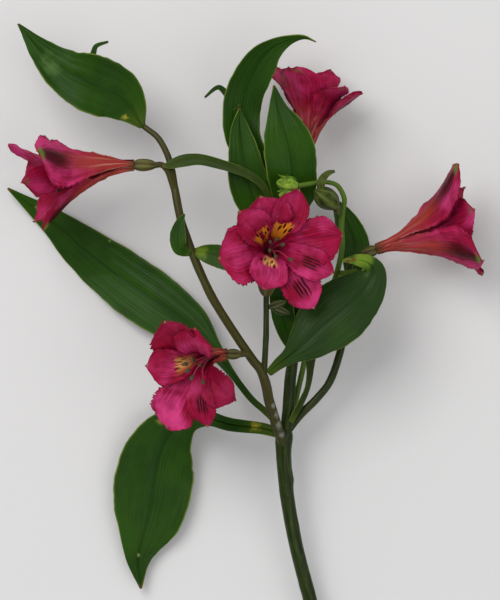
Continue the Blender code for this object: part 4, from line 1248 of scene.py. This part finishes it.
@dataclass
class Studio:
    """The pale floor, the soft light and the camera."""

    floor_size: float = 40.0
    floor_colour: Colour = (0.632, 0.618, 0.606)
    floor_cloud: Colour = (0.64, 0.628, 0.618)
    sky: Colour = (0.95, 0.97, 1.0)
    sky_strength: float = 0.6
    eye: Row = (0.0018, 0.0351, 3.0)
    lens: float = 395.0
    sensor: float = 36.0
    far: float = 20.0

    def build(self) -> None:
        """Builds the stage and sets the scene's camera."""
        bpy.ops.mesh.primitive_plane_add(size=self.floor_size)
        floor = bpy.context.object
        floor.name = "floor"
        board = Board("pale_floor", 0.8)
        cloud = board.noise(3.0)
        board.colour = board.mix(board.ramp(cloud, 0.3, 0.7), self.floor_colour, self.floor_cloud)
        floor.data.materials.append(board.finish(cloud, 0.02, 0.1))
        world = bpy.data.worlds.new("soft_room")
        bpy.context.scene.world = world
        world.use_nodes = True
        background = world.node_tree.nodes["Background"]
        background.inputs["Color"].default_value = (*self.sky, 1.0)
        background.inputs["Strength"].default_value = self.sky_strength
        self.lamp("key", (-0.75, 0.9, 1.7), 1.2, 25.0)
        self.lamp("fill", (1.1, -0.5, 1.9), 1.6, 9.0)
        camera = bpy.data.objects.new("camera", bpy.data.cameras.new("camera"))
        camera.data.lens = self.lens
        camera.data.sensor_width = self.sensor
        camera.data.clip_end = self.far
        camera.location = (self.eye[0] + SHIFT[0] * MM, self.eye[1] + SHIFT[1] * MM, self.eye[2])
        bpy.context.scene.collection.objects.link(camera)
        bpy.context.scene.camera = camera
        bpy.context.scene.view_settings.view_transform = "Standard"

    def lamp(self, name: str, place: Row, size: float, power: float) -> None:
        """Adds one soft area light that looks at the object.

        Args:
            name: its name.
            place: where it stands, in metres.
            size: its width in metres.
            power: its power in watts.
        """
        light = bpy.data.lights.new(name, "AREA")
        light.size = size
        light.energy = power
        obj = bpy.data.objects.new(name, light)
        obj.location = place
        obj.rotation_mode = "QUATERNION"
        obj.rotation_quaternion = Vector(place).to_track_quat("Z", "Y")
        bpy.context.scene.collection.objects.link(obj)


# The upper and the under face of each leaf. Spots are (place in millimetres, radius, colour).
PLAIN_LEAF = LeafFinish()
TWISTED_LEAF = LeafFinish(dark=(0.018, 0.02, 0.004), mid=(0.035, 0.04, 0.007))
RIBBON_LEAF = LeafFinish(dark=(0.02, 0.03, 0.004), mid=(0.04, 0.055, 0.007))
LEAF_FINISHES = {
    "other": (PLAIN_LEAF, LeafFinish(dark=(0.014, 0.04, 0.004), mid=(0.03, 0.075, 0.008), roughness=0.5)),
    # On the upper left leaf the first spot is a painted highlight at its base and the last a painted
    # highlight on its glossy blade.
    "leaf_upper_left": (LeafFinish(spots=(((-54.5, 117.4, 33.8), 2.2, (0.3, 0.26, 0.03)),
                                          ((-70.0, 118.5, 37.0), 3.0, (0.07, 0.02, 0.008)),
                                          ((-88.2, 140.8, 34.0), 7.0, (0.06, 0.12, 0.025)))), PLAIN_LEAF),
    "leaf_long_left": (LeafFinish(spots=(((-95.0, 77.0, 3.0), 2.0, (0.16, 0.2, 0.04)),
                                         ((-62.0, 62.0, 1.0), 1.2, (0.16, 0.2, 0.04)))), PLAIN_LEAF),
    "leaf_lower_left": (LeafFinish(spots=(((-49.0, -81.0, 5.0), 1.3, (0.25, 0.28, 0.12)),
                                          ((4.5, -22.0, 20.0), 3.0, (0.3, 0.26, 0.02)),
                                          ((-39.0, -20.0, 9.0), 2.5, (0.16, 0.16, 0.02)))), PLAIN_LEAF),
    "leaf_cross": (LeafFinish(vein=(0.06, 0.13, 0.008),
                              spots=(((-20.0, 56.4, 44.0), 4.0, (0.12, 0.18, 0.012)),)), PLAIN_LEAF),
    "leaf_hooded": (LeafFinish(dark=(0.01, 0.028, 0.004), mid=(0.018, 0.045, 0.006),
                               vein=(0.035, 0.08, 0.014),
                               spots=(((50.5, 52.6, 50.0), 8.0, (0.16, 0.26, 0.02)),
                                      ((43.0, 52.6, 51.0), 7.0, (0.2, 0.3, 0.03)),
                                      ((45.5, 52.4, 51.5), 1.6, (0.2, 0.03, 0.02)),
                                      ((48.2, 53.4, 51.5), 1.4, (0.2, 0.03, 0.02)))),
                    LeafFinish(dark=(0.05, 0.1, 0.012), mid=(0.09, 0.17, 0.02))),
    "leaf_twisted": (TWISTED_LEAF, TWISTED_LEAF),
    "leaf_ribbon": (RIBBON_LEAF, RIBBON_LEAF),
    "bract_folded": (LeafFinish(dark=(0.07, 0.13, 0.012), mid=(0.14, 0.22, 0.02), vein=(0.24, 0.33, 0.05)),
                     LeafFinish(dark=(0.06, 0.11, 0.012), mid=(0.11, 0.19, 0.02))),
}
BUD_FINISHES = {
    "bud_yellow": GrownFinish("yellow_bud", (0.05, 0.12, 0.008), (0.18, 0.31, 0.022), (0.34, 0.43, 0.07),
                              420.0, ends=(0.03, 0.08, 0.006)),
    "bud_olive": GrownFinish("olive_bud", (0.014, 0.024, 0.003), (0.045, 0.065, 0.007), (0.13, 0.15, 0.03),
                             300.0),
    "buds_small": GrownFinish("small_buds", (0.02, 0.03, 0.005), (0.05, 0.07, 0.012), (0.2, 0.2, 0.09)),
}
OVARY_FINISH = GrownFinish("ovary", (0.03, 0.022, 0.008), (0.075, 0.06, 0.016), (0.16, 0.17, 0.04))
STAMEN_FINISH = GrownFinish("stamen", (0.22, 0.015, 0.04), (0.4, 0.04, 0.08), (0.5, 0.1, 0.12),
                            ends=(0.06, 0.058, 0.03))


def main() -> None:
    """Builds each part of the stem in order."""
    logging.basicConfig(level=logging.INFO, format="%(message)s")
    Studio().build()
    Stem().build()
    Leaves().build()
    tepals = [TepalFinish("tepal_inner", Face.INNER).make(), TepalFinish("tepal_outer", Face.OUTER).make()]
    ovary, stamen = OVARY_FINISH.make(), STAMEN_FINISH.make()
    for key, form in BLOOMS.items():
        bloom = Bloom(key)
        bloom.build_tepals(tepals)
        bloom.build_ovary(ovary)
        if form.stamens is not None:
            bloom.build_stamens(stamen)
    Buds().build()


if __name__ == "__main__":
    main()
